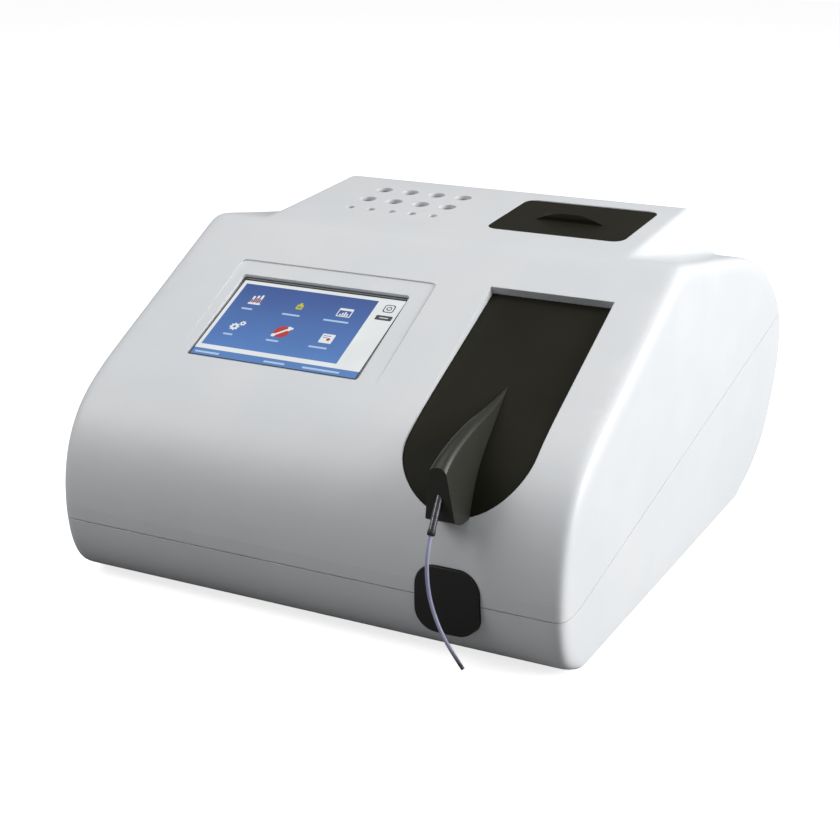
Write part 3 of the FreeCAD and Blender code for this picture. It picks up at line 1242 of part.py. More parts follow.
node("fan_rotor", formed(fan_rotor()))


def fan_guard():
    """Wire rings joined by two crossed wires, outside the panel."""
    x, z = size("fan_x"), size("fan_z")
    y = size("rear_floor") - size("wall")
    wire = size("grille_wire")
    rings = []
    radius = size("grille_inner")
    while radius < size("fan_bore"):
        outer = rod_shape(x, y, z, radius + wire / 2, wire, Vector(0, 1, 0))
        rings.append(outer.cut(rod_shape(x, y, z, radius - wire / 2, wire, Vector(0, 1, 0))))
        radius += size("grille_pitch")
    reach = size("fan_bore") + wire
    bars = []
    for turn in (45, 135):
        bar = Part.makeBox(2 * reach, wire, wire, Vector(-reach, 0, -wire / 2))
        bar.rotate(Vector(), Vector(0, 1, 0), turn)
        bar.translate(Vector(x, y, z))
        bars.append(grounded(bar))
    return bars[0].fuse([bars[1]] + rings)


node("fan_guard", formed(fan_guard()))

# Mains inlet: flanged socket with three blades. Its cord is not part of the instrument.
inlet_flange = block(("inlet_x - inlet_flange_width / 2", PANEL_OUT,
                      "inlet_z - inlet_flange_height / 2"),
                     ("inlet_flange_width", "inlet_flange", "inlet_flange_height"))
inlet_body = block(("inlet_x - inlet_width / 2", "%s - inlet_depth" % PANEL_OUT,
                    "inlet_z - inlet_height / 2"),
                   ("inlet_width", "inlet_depth", "inlet_height"))
socket = block(("inlet_x - socket_width / 2", "%s + inlet_flange - socket_depth" % PANEL_OUT,
                "inlet_z - socket_height_inside / 2"),
               ("socket_width", "socket_depth", "socket_height_inside"))
BLADE_ROOT = "(%s + inlet_flange - socket_depth)" % PANEL_OUT
blade_places = (("inlet_x - blade_pitch", "inlet_z - blade_height / 2"),
                ("inlet_x", "inlet_z + blade_height / 4"),
                ("inlet_x + blade_pitch", "inlet_z - blade_height / 2"))
node("power_inlet", cut(fused([inlet_flange, inlet_body]), [socket]))
node("inlet_blades", group([
    block(("%s - blade_width / 2" % x, BLADE_ROOT, "%s - blade_height / 2" % z),
          ("blade_width", "socket_depth - inlet_flange - blade_width", "blade_height"))
    for x, z in blade_places]))

# Power switch: snap-in frame with a rocker on a level axis.
switch_flange = block(("switch_x - switch_width / 2", PANEL_OUT, "switch_z - switch_height / 2"),
                      ("switch_width", "switch_lip", "switch_height"))
switch_body = block(("switch_x - switch_width / 2 + switch_lip", "%s - switch_depth" % PANEL_OUT,
                     "switch_z - switch_height / 2 + switch_lip"),
                    ("switch_width - 2 * switch_lip", "switch_depth",
                     "switch_height - 2 * switch_lip"))
switch_mouth = block(("switch_x - rocker_width / 2 - rocker_gap / 2",
                      "%s - rocker_depth" % PANEL_OUT, "switch_z - rocker_height / 2 - rocker_gap"),
                     ("rocker_width + rocker_gap", "2 * rocker_depth",
                      "rocker_height + 2 * rocker_gap"))
node("switch_frame", cut(fused([switch_flange, switch_body]), [switch_mouth]))


def rocker():
    """The rocker, tipped to its off side: a shallow V in front of a round back."""
    width, half = size("rocker_width"), size("rocker_height") / 2
    proud = size("rocker_proud")
    fall = half * math.tan(math.radians(size("rocker_tilt")))
    points = [(0, -half), (proud, -half), (proud - fall, 0), (proud, half), (0, half)]
    outline = Part.makePolygon([Vector(0, y, z) for y, z in points + points[:1]])
    top = Part.Face(outline).extrude(Vector(width, 0, 0))
    back = Part.makeCylinder(half, width, Vector(), Vector(1, 0, 0))
    shape = top.fuse(back)
    shape.rotate(Vector(), Vector(1, 0, 0), size("rocker_tilt"))
    shape.translate(Vector(size("switch_x") - width / 2, size("rear_floor") - size("wall"),
                           size("switch_z")))
    return grounded(shape)


node("power_rocker", formed(rocker()))

# Serial and USB ports, fuse holder and waste fitting.
serial_plate = block(("serial_x - serial_width / 2", PANEL_OUT, "serial_z - serial_height / 2"),
                     ("serial_width", "serial_wall", "serial_height"))
serial_shell = block(("serial_x - serial_shell_width / 2", "%s - serial_body_depth" % PANEL_OUT,
                      "serial_z - serial_shell_height / 2"),
                     ("serial_shell_width", "serial_body_depth + serial_reach",
                      "serial_shell_height"))
serial_mouth = block(("serial_x - serial_shell_width / 2 + serial_wall",
                      PANEL_OUT, "serial_z - serial_shell_height / 2 + serial_wall"),
                     ("serial_shell_width - 2 * serial_wall", "2 * serial_reach",
                      "serial_shell_height - 2 * serial_wall"))
node("serial_port", cut(fused([serial_plate, serial_shell]), [serial_mouth]))
usb_shell = block(("usb_x - usb_width / 2", "%s - usb_depth + usb_proud" % PANEL_OUT,
                   "usb_z - usb_height / 2"), ("usb_width", "usb_depth", "usb_height"))
usb_mouth = block(("usb_x - usb_width / 2 + usb_wall", "%s - usb_depth / 2" % PANEL_OUT,
                   "usb_z - usb_height / 2 + usb_wall"),
                  ("usb_width - 2 * usb_wall", "usb_depth", "usb_height - 2 * usb_wall"))
node("usb_port", cut(usb_shell, [usb_mouth]))
node("fuse_holder", fused([
    rod(("fuse_x", "%s - fuse_depth" % PANEL_OUT, "fuse_z"), "fuse_body_radius", "fuse_depth",
        "y"), rod(("fuse_x", PANEL_OUT, "fuse_z"), "fuse_radius", "fuse_cap", "y")]))
barb = fused([
    rod(("waste_x", "%s - barb_tail" % PANEL_OUT, "waste_z"), "barb_radius",
        "barb_length + barb_tail", "y"),
    rod(("waste_x", PANEL_OUT, "waste_z"), "barb_collar_radius", "barb_collar", "y")])
node("waste_fitting", cut(barb, [rod(("waste_x", "%s - barb_tail" % PANEL_OUT, "waste_z"),
                                     "barb_bore", "barb_length + barb_tail", "y")]))

doc.recompute()
for piece in doc.Objects:
    if "Invalid" in piece.State or "Error" in piece.State:
        raise RuntimeError("%s: %s" % (piece.Label, piece.State))
for piece in nodes:
    if piece.Shape.isNull() or not piece.Shape.isValid():
        raise RuntimeError("%s has no sound shape" % piece.Label)

os.makedirs("parts", exist_ok=True)
for piece in nodes:
    piece.Shape.exportStep(os.path.join("parts", piece.Label + ".step"))
print("wrote %d nodes" % len(nodes))
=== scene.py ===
"""Benchtop clinical chemistry analyzer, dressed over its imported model.

Metres. +X is the operator's right, +Y runs to the back, +Z is up.
"""
import math

import bmesh
import bpy
from mathutils import Matrix, Vector


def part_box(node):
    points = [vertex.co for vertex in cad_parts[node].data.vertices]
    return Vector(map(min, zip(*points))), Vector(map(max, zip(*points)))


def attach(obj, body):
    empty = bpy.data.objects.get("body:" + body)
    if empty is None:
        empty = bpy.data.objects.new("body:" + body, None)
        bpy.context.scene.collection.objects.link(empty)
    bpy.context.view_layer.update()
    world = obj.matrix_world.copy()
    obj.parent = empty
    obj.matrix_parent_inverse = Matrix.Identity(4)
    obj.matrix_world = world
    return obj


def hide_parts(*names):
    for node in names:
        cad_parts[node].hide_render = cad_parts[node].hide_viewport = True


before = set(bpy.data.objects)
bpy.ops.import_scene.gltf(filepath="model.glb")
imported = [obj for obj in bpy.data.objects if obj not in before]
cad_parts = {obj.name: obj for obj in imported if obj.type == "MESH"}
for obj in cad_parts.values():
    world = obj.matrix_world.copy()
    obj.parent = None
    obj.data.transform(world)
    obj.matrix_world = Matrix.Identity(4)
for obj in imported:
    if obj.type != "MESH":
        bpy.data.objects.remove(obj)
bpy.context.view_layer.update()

# Camera: stands to the operator's right and looks down at the front corner, as in a product
# photograph. The lens is a short telephoto, so the box keeps nearly parallel edges.
CAMERA_PLACE = (0.4732, -0.9642, 0.4458)
LOOKS_DOWN, LOOKS_LEFT = 19.157, 27.035
camera = bpy.data.objects.new("camera", bpy.data.cameras.new("camera"))
bpy.context.scene.collection.objects.link(camera)
bpy.context.scene.camera = camera
camera.location = CAMERA_PLACE
camera.rotation_euler = (math.radians(90 - LOOKS_DOWN), 0, math.radians(LOOKS_LEFT))
camera.data.lens = 71.709
camera.data.sensor_width = 36

# Floor and backdrop: a pale sweep. The camera sees it white, with the object's soft shadow, and
# the object gets the weaker light that grey card gives back. Three large soft lamps light the
# object: a strong one from the operator's right, and weaker ones from above and from the front.
FLOOR_SIZE = 8
PAPER_GLOW = 0.76
WORLD_LIGHT = 0.2
WHITE = (1, 1, 1, 1)


def linear(code):
    """An sRGB colour such as "d8dade", as linear red, green, blue and alpha."""
    parts = [int(code[i:i + 2], 16) / 255 for i in (0, 2, 4)]
    return tuple(p / 12.92 if p <= 0.04045 else ((p + 0.055) / 1.055) ** 2.4 for p in parts) + (1,)


def add(tree, kind, inputs=None, **settings):
    """Add a node with its settings. An input is a value, or the socket that it is linked to."""
    made = tree.nodes.new(kind)
    for name, value in settings.items():
        setattr(made, name, value)
    for name, value in (inputs or {}).items():
        if isinstance(value, bpy.types.NodeSocket):
            tree.links.new(value, made.inputs[name])
        else:
            made.inputs[name].default_value = value
    return made


def blank(name, colour, roughness, **inputs):
    """A new material: its node tree and its surface shader."""
    material = bpy.data.materials.new(name)
    material.use_nodes = True
    shader = material.node_tree.nodes["Principled BSDF"]
    shader.inputs["Base Color"].default_value = linear(colour)
    shader.inputs["Roughness"].default_value = roughness
    for socket, value in inputs.items():
        shader.inputs[socket.replace("_", " ")].default_value = value
    return material, material.node_tree, shader


bpy.ops.mesh.primitive_plane_add(size=FLOOR_SIZE)
floor = bpy.context.object
floor.name = "floor"
paper, tree, shader = blank("white_paper", "f4f4f4", 0.9)
shader.inputs["Emission Color"].default_value = WHITE
shader.inputs["Emission Strength"].default_value = PAPER_GLOW
card = add(tree, "ShaderNodeBsdfDiffuse", {"Color": linear("7c7c7c")})
path = add(tree, "ShaderNodeLightPath")
seen = add(tree, "ShaderNodeMixShader", {0: path.outputs["Is Camera Ray"], 1: card.outputs[0],
                                         2: shader.outputs[0]})
tree.links.new(seen.outputs[0], tree.nodes["Material Output"].inputs["Surface"])
floor.data.materials.append(paper)

world = bpy.data.worlds.new("studio")
bpy.context.scene.world = world
world.use_nodes = True
tree = world.node_tree
background = tree.nodes["Background"]
path = add(tree, "ShaderNodeLightPath")
strength = add(tree, "ShaderNodeMapRange", {"Value": path.outputs["Is Camera Ray"],
                                            "To Min": WORLD_LIGHT, "To Max": 1.0})
background.inputs["Color"].default_value = WHITE
tree.links.new(strength.outputs[0], background.inputs["Strength"])
for name, place, watts, width in (("right_lamp", (1.5, 0.25, 0.75), 31, 1.0),
                                  ("front_lamp", (-1.15, -0.95, 1.25), 11, 0.9),
                                  ("top_lamp", (-0.3, -0.1, 2.2), 12, 1.6)):
    lamp = bpy.data.objects.new(name, bpy.data.lights.new(name, "AREA"))
    bpy.context.scene.collection.objects.link(lamp)
    lamp.location = place
    lamp.rotation_euler = Vector(place).to_track_quat("Z", "Y").to_euler()
    lamp.data.energy = watts
    lamp.data.size = width
bpy.context.scene.view_settings.view_transform = "Standard"

# Lower housing: the moulded tub below the sloping parting line. White ABS from a spark-eroded
# tool, so it has a fine satin grain and no gloss, and its colour is cool and very even.
MM = 0.001


def per(size_mm):
    """A pattern's scale, from the real size of one of its cells in millimetres."""
    return 1 / (size_mm * MM)


def grained(name, colour, deep, *, roughness, grain_mm, depth_mm, drift_mm=60, soften_mm=0,
            **inputs):
    """A moulded or cast finish: a fine grain in relief, and a slow drift from colour to deep."""
    material, tree, shader = blank(name, colour, roughness, **inputs)
    place = add(tree, "ShaderNodeTexCoord")
    drift = add(tree, "ShaderNodeTexNoise", {"Vector": place.outputs["Object"],
                                             "Scale": per(drift_mm), "Detail": 3.0})
    tint = add(tree, "ShaderNodeValToRGB", {"Fac": drift.outputs["Fac"]})
    tint.color_ramp.elements[0].position = 0.35
    tint.color_ramp.elements[0].color = linear(deep)
    tint.color_ramp.elements[1].position = 0.65
    tint.color_ramp.elements[1].color = linear(colour)
    tree.links.new(tint.outputs["Color"], shader.inputs["Base Color"])
    grain = add(tree, "ShaderNodeTexNoise", {"Vector": place.outputs["Object"],
                                             "Scale": per(grain_mm), "Detail": 4.0})
    shine = add(tree, "ShaderNodeMapRange", {"Value": grain.outputs["Fac"], "From Min": 0.3,
                                             "From Max": 0.7, "To Min": roughness - 0.05,
                                             "To Max": roughness + 0.07})
    tree.links.new(shine.outputs[0], shader.inputs["Roughness"])
    relief = add(tree, "ShaderNodeBump", {"Height": grain.outputs["Fac"], "Strength": 0.5,
                                          "Distance": depth_mm * MM})
    if soften_mm:
        rim = add(tree, "ShaderNodeBevel", {"Radius": soften_mm * MM}, samples=6)
        tree.links.new(rim.outputs[0], relief.inputs["Normal"])
    tree.links.new(relief.outputs[0], shader.inputs["Normal"])
    return material


def dress(material, *names):
    """Give CAD nodes a material."""
    for name in names:
        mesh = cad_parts[name].data
        mesh.materials.clear()
        mesh.materials.append(material)


white_abs = grained("moulded_white_abs", "e2e4e6", "dee1e4", roughness=0.42, grain_mm=0.9,
                    depth_mm=0.02, soften_mm=0.7)
dress(white_abs, "lower_housing")

# Rubber feet: moulded black nitrile pads, each pushed into the floor by its stud. Matt, with the
# slightly dusty bloom that rubber takes on a bench.
dress(grained("moulded_nitrile", "1d1d1c", "2a2a28", roughness=0.82, grain_mm=0.6, depth_mm=0.03,
              drift_mm=8), "rubber_feet")

# Base plate and screws: zinc-plated mild steel, punched and folded. The passivated zinc gives a
# cool grey with faint warm and blue clouds, and the rolling leaves fine parallel lines.
LINE_LENGTH = 12


def rolled(name, colour, tint, *, roughness, line_mm, cloud_mm,
           along=(1, LINE_LENGTH, LINE_LENGTH)):
    """Rolled or drawn metal: clouds of a second tint, and fine parallel lines in relief, each
    LINE_LENGTH times as long as it is wide."""
    material, tree, shader = blank(name, colour, roughness, Metallic=1.0)
    place = add(tree, "ShaderNodeTexCoord")
    cloud = add(tree, "ShaderNodeTexNoise", {"Vector": place.outputs["Object"],
                                             "Scale": per(cloud_mm), "Detail": 2.0})
    hue = add(tree, "ShaderNodeValToRGB", {"Fac": cloud.outputs["Fac"]})
    hue.color_ramp.elements[0].position = 0.35
    hue.color_ramp.elements[0].color = linear(colour)
    hue.color_ramp.elements[1].position = 0.7
    hue.color_ramp.elements[1].color = linear(tint)
    tree.links.new(hue.outputs["Color"], shader.inputs["Base Color"])
    drawn = add(tree, "ShaderNodeMapping", {
        "Vector": place.outputs["Object"],
        "Scale": tuple(v * per(line_mm) / LINE_LENGTH for v in along)})
    lines = add(tree, "ShaderNodeTexNoise", {"Vector": drawn.outputs[0], "Scale": 1.0,
                                             "Detail": 3.0})
    shine = add(tree, "ShaderNodeMapRange", {"Value": lines.outputs["Fac"], "From Min": 0.3,
                                             "From Max": 0.7, "To Min": roughness - 0.08,
                                             "To Max": roughness + 0.1})
    tree.links.new(shine.outputs[0], shader.inputs["Roughness"])
    relief = add(tree, "ShaderNodeBump", {"Height": lines.outputs["Fac"], "Strength": 0.3,
                                          "Distance": 0.02 * MM})
    tree.links.new(relief.outputs[0], shader.inputs["Normal"])
    return material


zinc = rolled("zinc_plated_steel", "a9adb0", "b3ab98", roughness=0.36, line_mm=0.4, cloud_mm=14)
dress(zinc, "base_plate", "chassis_screws", "housing_screws", "board_standoffs")

# Power supply: a slotted zinc-plated case over the mains circuit. Thinner sheet than the base,
# with a brighter plating and a finer rolled line.
dress(rolled("bright_zinc_sheet", "b9bcbe", "aeb4ba", roughness=0.3, line_mm=0.3, cloud_mm=9),
      "power_supply")

# Main and detector boards: woven glass epoxy under a green solder mask. Copper tracks show as
# slightly lighter lines in relief, and the mask is glossy.
TRACK_MM = 6


def masked_board(name, turn):
    """Green solder mask over tracks that run square to each other. The turn lays them flat on
    the board."""
    material, tree, shader = blank(name, "0f4a2a", 0.22, IOR=1.5)
    place = add(tree, "ShaderNodeTexCoord")
    turned_place = add(tree, "ShaderNodeMapping", {"Vector": place.outputs["Object"],
                                                   "Rotation": turn})
    tracks = add(tree, "ShaderNodeTexBrick", {"Vector": turned_place.outputs[0],
                                              "Scale": per(TRACK_MM), "Mortar Size": 0.035,
                                              "Brick Width": 0.9, "Row Height": 0.22,
                                              "Color1": linear("0d4426"),
                                              "Color2": linear("11522f"),
                                              "Mortar": linear("2b7a45")}, offset=0.37)
    tree.links.new(tracks.outputs["Color"], shader.inputs["Base Color"])
    relief = add(tree, "ShaderNodeBump", {"Height": tracks.outputs["Fac"], "Strength": 0.4,
                                          "Distance": 0.05 * MM})
    tree.links.new(relief.outputs[0], shader.inputs["Normal"])
    return material


dress(masked_board("solder_mask_flat", (0, 0, 0)), "main_board")
dress(masked_board("solder_mask_upright", (0, math.pi / 2, 0)), "detector_board")

# Board components and key sensor: packages and headers of filled epoxy, moulded black. The
# filler leaves a dull, slightly speckled face.
dress(grained("filled_black_epoxy", "232323", "2c2b29", roughness=0.6, grain_mm=0.5,
              depth_mm=0.01, drift_mm=5), "board_components", "key_sensor")

# Peristaltic pump: a zinc bracket with a can motor behind it, and a cream acetal head and rotor
# in front. Acetal is waxy: satin, slightly translucent, with faint turning marks.
dress(zinc, "pump_bracket")
dress(rolled("nickel_motor_can", "8f9193", "9b9a95", roughness=0.32, line_mm=0.5, cloud_mm=11,
             along=(LINE_LENGTH, 1, LINE_LENGTH)), "pump_motor", "filter_motor")
dress(grained("machined_acetal", "e6e2d6", "dcd7c8", roughness=0.38, grain_mm=1.2, depth_mm=0.01,
              drift_mm=12, Subsurface_Weight=0.1, Subsurface_Scale=1 * MM),
      "pump_rotor", "pump_head")

# Pump tubing: silicone hose, squeezed round the rotor's rollers inside the head. Extruded, so it
# is milky and soft, with a faint haze along its length.
dress(grained("silicone_hose", "d9d7cc", "c9c9c0", roughness=0.3, grain_mm=2.0, depth_mm=0.01,
              drift_mm=6, Subsurface_Weight=0.4, Subsurface_Scale=1 * MM), "pump_tubing")

# Optical bench and the cast or milled aluminium on it, the incubator block and the filter wheel.
# Bead-blasted matt so that no stray light is reflected: pale grey with a fine sparkle.
dress(grained("blasted_aluminium", "b4b6b8", "a9abad", roughness=0.5, grain_mm=0.4,
              depth_mm=0.03, drift_mm=25, Metallic=1.0),
      "optical_bench", "cell_holder", "heat_sink", "lens_barrel", "lamp_house",
      "incubator_block", "filter_wheel")

# Heater pad: an etched foil track laminated in amber polyimide film. The track shows through as
# darker parallel lines.
FOIL_MM = 12
film, tree, shader = blank("polyimide_film", "b4611e", 0.25, IOR=1.6)
place = add(tree, "ShaderNodeTexCoord")
foil = add(tree, "ShaderNodeTexWave", {"Vector": place.outputs["Object"],
                                       "Scale": per(FOIL_MM), "Distortion": 0.4})
track = add(tree, "ShaderNodeValToRGB", {"Fac": foil.outputs["Fac"]})
track.color_ramp.elements[0].position = 0.45
track.color_ramp.elements[0].color = linear("7c3a12")
track.color_ramp.elements[1].position = 0.55
track.color_ramp.elements[1].color = linear("b9671f")
tree.links.new(track.outputs["Color"], shader.inputs["Base Color"])
dress(film, "heater_pad")

# Peltier module and lamp socket: sintered alumina and steatite ceramic, chalk white, with a
# very fine matt grain.
dress(grained("sintered_ceramic", "e9e6de", "dfdcd2", roughness=0.7, grain_mm=0.5, depth_mm=0.02,
              drift_mm=7), "peltier_module", "lamp_socket")

# Flow cell, condenser lens and lamp: fused quartz, ground and polished. Clear, with a barely
# waved surface.
WAVE_MM = 9
quartz, tree, shader = blank("fused_quartz", "f2f8fa", 0.03, IOR=1.46, Transmission_Weight=1.0)
place = add(tree, "ShaderNodeTexCoord")
wave = add(tree, "ShaderNodeTexNoise", {"Vector": place.outputs["Object"],
                                        "Scale": per(WAVE_MM)})
relief = add(tree, "ShaderNodeBump", {"Height": wave.outputs["Fac"], "Strength": 0.1,
                                      "Distance": 0.05 * MM})
tree.links.new(relief.outputs[0], shader.inputs["Normal"])
dress(quartz, "flow_cell", "condenser_lens", "halogen_lamp")

# Interference filters: quartz discs with a stack of thin metal oxides. Each shines in another
# colour, from violet to amber.
FILTER_PITCH_MM = 16
coated, tree, shader = blank("oxide_coated_quartz", "8a5fa0", 0.08, Metallic=0.8)
place = add(tree, "ShaderNodeTexCoord")
layer = add(tree, "ShaderNodeTexVoronoi", {"Vector": place.outputs["Object"],
                                           "Scale": per(FILTER_PITCH_MM)})
hues = add(tree, "ShaderNodeValToRGB", {"Fac": layer.outputs["Distance"]})
hues.color_ramp.elements[0].color = linear("7a4fb0")
hues.color_ramp.elements[1].color = linear("c98a3a")
tree.links.new(hues.outputs["Color"], shader.inputs["Base Color"])
dress(coated, "interference_filters")

# Cuvette bay, key guide and display module: black glass-filled nylon, matt, with the short
# fibres just showing in the grain.
dress(grained("glass_filled_nylon", "1f1f1e", "282827", roughness=0.62, grain_mm=0.8,
              depth_mm=0.03, drift_mm=9), "cuvette_bay", "key_guide", "display_module")

# Rear panel: steel sheet, punched for its fittings and powder coated in light grey. The powder
# flows out to a fine orange peel.
dress(grained("grey_powder_coat", "a7aaac", "9fa3a6", roughness=0.5, grain_mm=1.1, depth_mm=0.06,
              drift_mm=40), "rear_panel")

# Cooling fan: frame and rotor moulded in black glass-filled polyester, satin. The guard in front
# is chromed wire, bent into rings and welded, and has a hard bright shine.
dress(grained("fan_polyester", "1b1b1b", "232322", roughness=0.45, grain_mm=0.7, depth_mm=0.02,
              drift_mm=12), "fan_frame", "fan_rotor")
dress(rolled("chromed_wire", "c9cbcd", "bfc3c6", roughness=0.14, line_mm=0.8, cloud_mm=20),
      "fan_guard")

# Mains inlet, switch and fuse holder: black thermoplastic with a satin face. The inlet's blades
# are nickel-plated brass.
dress(grained("flame_proof_thermoplastic", "161616", "1e1e1d", roughness=0.4, grain_mm=0.6,
              depth_mm=0.015, drift_mm=10, soften_mm=0.4),
      "power_inlet", "switch_frame", "fuse_holder", "power_rocker")
dress(rolled("plated_brass", "cdbf8e", "c4bda2", roughness=0.25, line_mm=0.4, cloud_mm=4),
      "inlet_blades")

# Data ports: pressed steel shells, tin plated, standing out through the rear panel. The tin has
# a soft shine.
dress(rolled("tinned_steel", "b7b8b8", "aaa9a4", roughness=0.3, line_mm=0.3, cloud_mm=5),
      "serial_port", "usb_port")

# Waste fitting: turned from natural polypropylene, with a barb that holds the waste hose. Milky
# white, and slightly translucent at its thin edge.
dress(grained("natural_polypropylene", "e4e4de", "d9d9d2", roughness=0.35, grain_mm=1.0,
              depth_mm=0.01, drift_mm=5, Subsurface_Weight=0.15, Subsurface_Scale=1 * MM),
      "waste_fitting")

# Upper housing: the moulded cover, with the slanted face and the raised deck. The same white
# ABS and grain as the tub, so that the two read as one body.
dress(white_abs, "upper_housing")

# Display: a touch screen behind clear glass, in a grey rubber gasket, on a zinc bracket. The
# glass is float glass with a hard coat, wiped often, so faint smears show where light grazes it.
SMEAR_MM = 18
dress(zinc, "display_bracket")
dress(grained("moulded_silicone", "a6a8aa", "9b9da0", roughness=0.6, grain_mm=0.5, depth_mm=0.01,
              drift_mm=6), "display_gasket")
glass, tree, shader = blank("coated_screen_glass", "f6f9fc", 0.05, IOR=1.45,
                            Transmission_Weight=1.0)
place = add(tree, "ShaderNodeTexCoord")
smear = add(tree, "ShaderNodeTexNoise", {"Vector": place.outputs["Object"],
                                         "Scale": per(SMEAR_MM), "Detail": 4.0})
wiped = add(tree, "ShaderNodeMapRange", {"Value": smear.outputs["Fac"], "To Min": 0.02,
                                         "To Max": 0.08})
tree.links.new(wiped.outputs[0], shader.inputs["Roughness"])
dress(glass, "touch_glass")

# Screen picture: what the lit panel shows, laid in thin layers just under the glass's top face.
# It is generic: a blue field with six plain pictures over pale bars, a blue bar, and a white
# margin with a button and a dark tab, all inside a printed black rim.
SCREEN_TILT = math.radians(25.256)
GLASS_THICKNESS = 1.8 * MM
LAYER = 0.04 * MM
PICTURE_RISE = GLASS_THICKNESS - 8 * LAYER
BACKLIGHT_MM = 25
DISC_SIDES = 24
glass_low, glass_high = [Vector(corner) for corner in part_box("touch_glass")]
screen_up = Vector((0, math.cos(SCREEN_TILT), math.sin(SCREEN_TILT)))
screen_out = Vector((0, -math.sin(SCREEN_TILT), math.cos(SCREEN_TILT)))
wide = (glass_high.x - glass_low.x) / MM
high = ((glass_high.y - glass_low.y - GLASS_THICKNESS * math.sin(SCREEN_TILT))
        / math.cos(SCREEN_TILT)) / MM


def lit(name, low, high=None):
    """A part of the lit picture, from one colour at its foot to another at its top."""
    material, tree, shader = blank(name, "101010", 0.4)
    place = add(tree, "ShaderNodeTexCoord")
    height = add(tree, "ShaderNodeSeparateXYZ", {0: place.outputs["Generated"]})
    tint = add(tree, "ShaderNodeValToRGB", {"Fac": height.outputs["Z"]})
    tint.color_ramp.elements[0].color = linear(low)
    tint.color_ramp.elements[1].color = linear(high or low)
    tree.links.new(tint.outputs["Color"], shader.inputs["Emission Color"])
    backlight = add(tree, "ShaderNodeTexNoise", {"Vector": place.outputs["Object"],
                                                 "Scale": per(BACKLIGHT_MM)})
    power = add(tree, "ShaderNodeMapRange", {"Value": backlight.outputs["Fac"], "To Min": 0.9,
                                             "To Max": 1.1})
    tree.links.new(power.outputs[0], shader.inputs["Emission Strength"])
    return material


def place_piece(name, shape, material, body):
    """An object from a finished shape, with its material and body."""
    mesh = bpy.data.meshes.new(name)
    shape.to_mesh(mesh)
    shape.free()
    piece = bpy.data.objects.new(name, mesh)
    bpy.context.scene.collection.objects.link(piece)
    mesh.materials.append(material)
    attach(piece, body)


def shown(name, material, level, outlines):
    """Thin shapes on the lit panel, from outlines in millimetres across and up the screen."""
    shape = bmesh.new()
    foot = glass_low + screen_out * (PICTURE_RISE + LAYER * level)
    for outline in outlines:
        rings = [[shape.verts.new(foot + Vector((u * MM, 0, 0)) + screen_up * v * MM
                                  + screen_out * LAYER * lift) for u, v in outline]
                 for lift in (0, 0.5)]
        shape.faces.new(rings[1])
        shape.faces.new(rings[0][::-1])
        for i in range(len(outline)):
            k = (i + 1) % len(outline)
            shape.faces.new((rings[0][i], rings[0][k], rings[1][k], rings[1][i]))
    place_piece(name, shape, material, "housing")


def box_outline(u, v, width, height, cut=0):
    """A rectangle about a middle, with its corners cut off."""
    x, y = width / 2, height / 2
    if not cut:
        return [(u - x, v - y), (u + x, v - y), (u + x, v + y), (u - x, v + y)]
    return [(u + a, v + b) for a, b in (
        (-x + cut, -y), (x - cut, -y), (x, -y + cut), (x, y - cut), (x - cut, y), (-x + cut, y),
        (-x, y - cut), (-x, -y + cut))]


def disc_outline(u, v, radius, teeth=0, depth=0):
    """A disc about a middle, or a gear wheel with teeth of a depth."""
    count = 4 * teeth or DISC_SIDES
    reach = [radius + (depth if teeth and i % 4 < 2 else 0) for i in range(count)]
    turns = [2 * math.pi * i / count for i in range(count)]
    return [(u + r * math.cos(t), v + r * math.sin(t)) for r, t in zip(reach, turns)]


def bar_outline(start, end, width):
    """A straight bar between two places."""
    along = (Vector(end) - Vector(start)).normalized() * width / 2
    side = Vector((-along.y, along.x))
    return [tuple(Vector(start) - side), tuple(Vector(end) - side), tuple(Vector(end) + side),
            tuple(Vector(start) + side)]


FIELD_LEFT, FIELD_FOOT, FIELD_RIGHT, FIELD_TOP = 3.4, 10.8, 101.2, 71.6
BAR_TOP = 6.8
COLUMNS, ROWS = (18.7, 51.5, 84.2), (56.6, 31.2)
LABELS = ((8, 13, 18), (7, 9, 13))
LABEL_LEFT, LABEL_BELOW, LABEL_HEIGHT = 2.2, 8.8, 1.5
BAR_LABELS = ((12, 18), (61, 15), (94, 26))
BAR_LABEL_HEIGHT = 1.6
LABEL_CUT = 0.4
RIM = 0.8
DIAL = (111.3, 65.7)
TAB = (111.6, 56.7)
white_light = lit("lit_white", "dde1e2")
field_light = lit("lit_blue", "4c78b8", "33508f")
shown("screen_ground", white_light, 1, [box_outline(wide / 2, high / 2, wide, high)])
shown("screen_field", field_light, 2, [[
    (FIELD_LEFT, FIELD_FOOT), (FIELD_RIGHT, FIELD_FOOT), (FIELD_RIGHT, FIELD_TOP),
    (FIELD_LEFT, FIELD_TOP)]])
shown("screen_bar", lit("lit_bar_blue", "4f7bb6"), 2,
      [[(0, 0), (wide, 0), (wide, BAR_TOP), (0, BAR_TOP)]])
shown("screen_labels", lit("lit_pale_blue", "a9c0de"), 3,
      [box_outline(column - LABEL_LEFT, row - LABEL_BELOW, length, LABEL_HEIGHT, LABEL_CUT)
       for row, lengths in zip(ROWS, LABELS) for column, length in zip(COLUMNS, lengths)]
      + [box_outline(u, BAR_TOP / 2, length, BAR_LABEL_HEIGHT, LABEL_CUT)
         for u, length in BAR_LABELS])
shown("screen_tab", lit("lit_dark_grey", "3e3f47"), 3, [
    box_outline(*TAB, 11.4, 4.4, 0.5), box_outline(*DIAL, 7.4, 7.4, 1.2)])
shown("screen_button", white_light, 4, [
    box_outline(*DIAL, 5.9, 5.9, 0.9), box_outline(*TAB, 6, 0.7)])
shown("screen_dial", lit("lit_mid_grey", "55565e"), 5, [disc_outline(*DIAL, 1.9)])
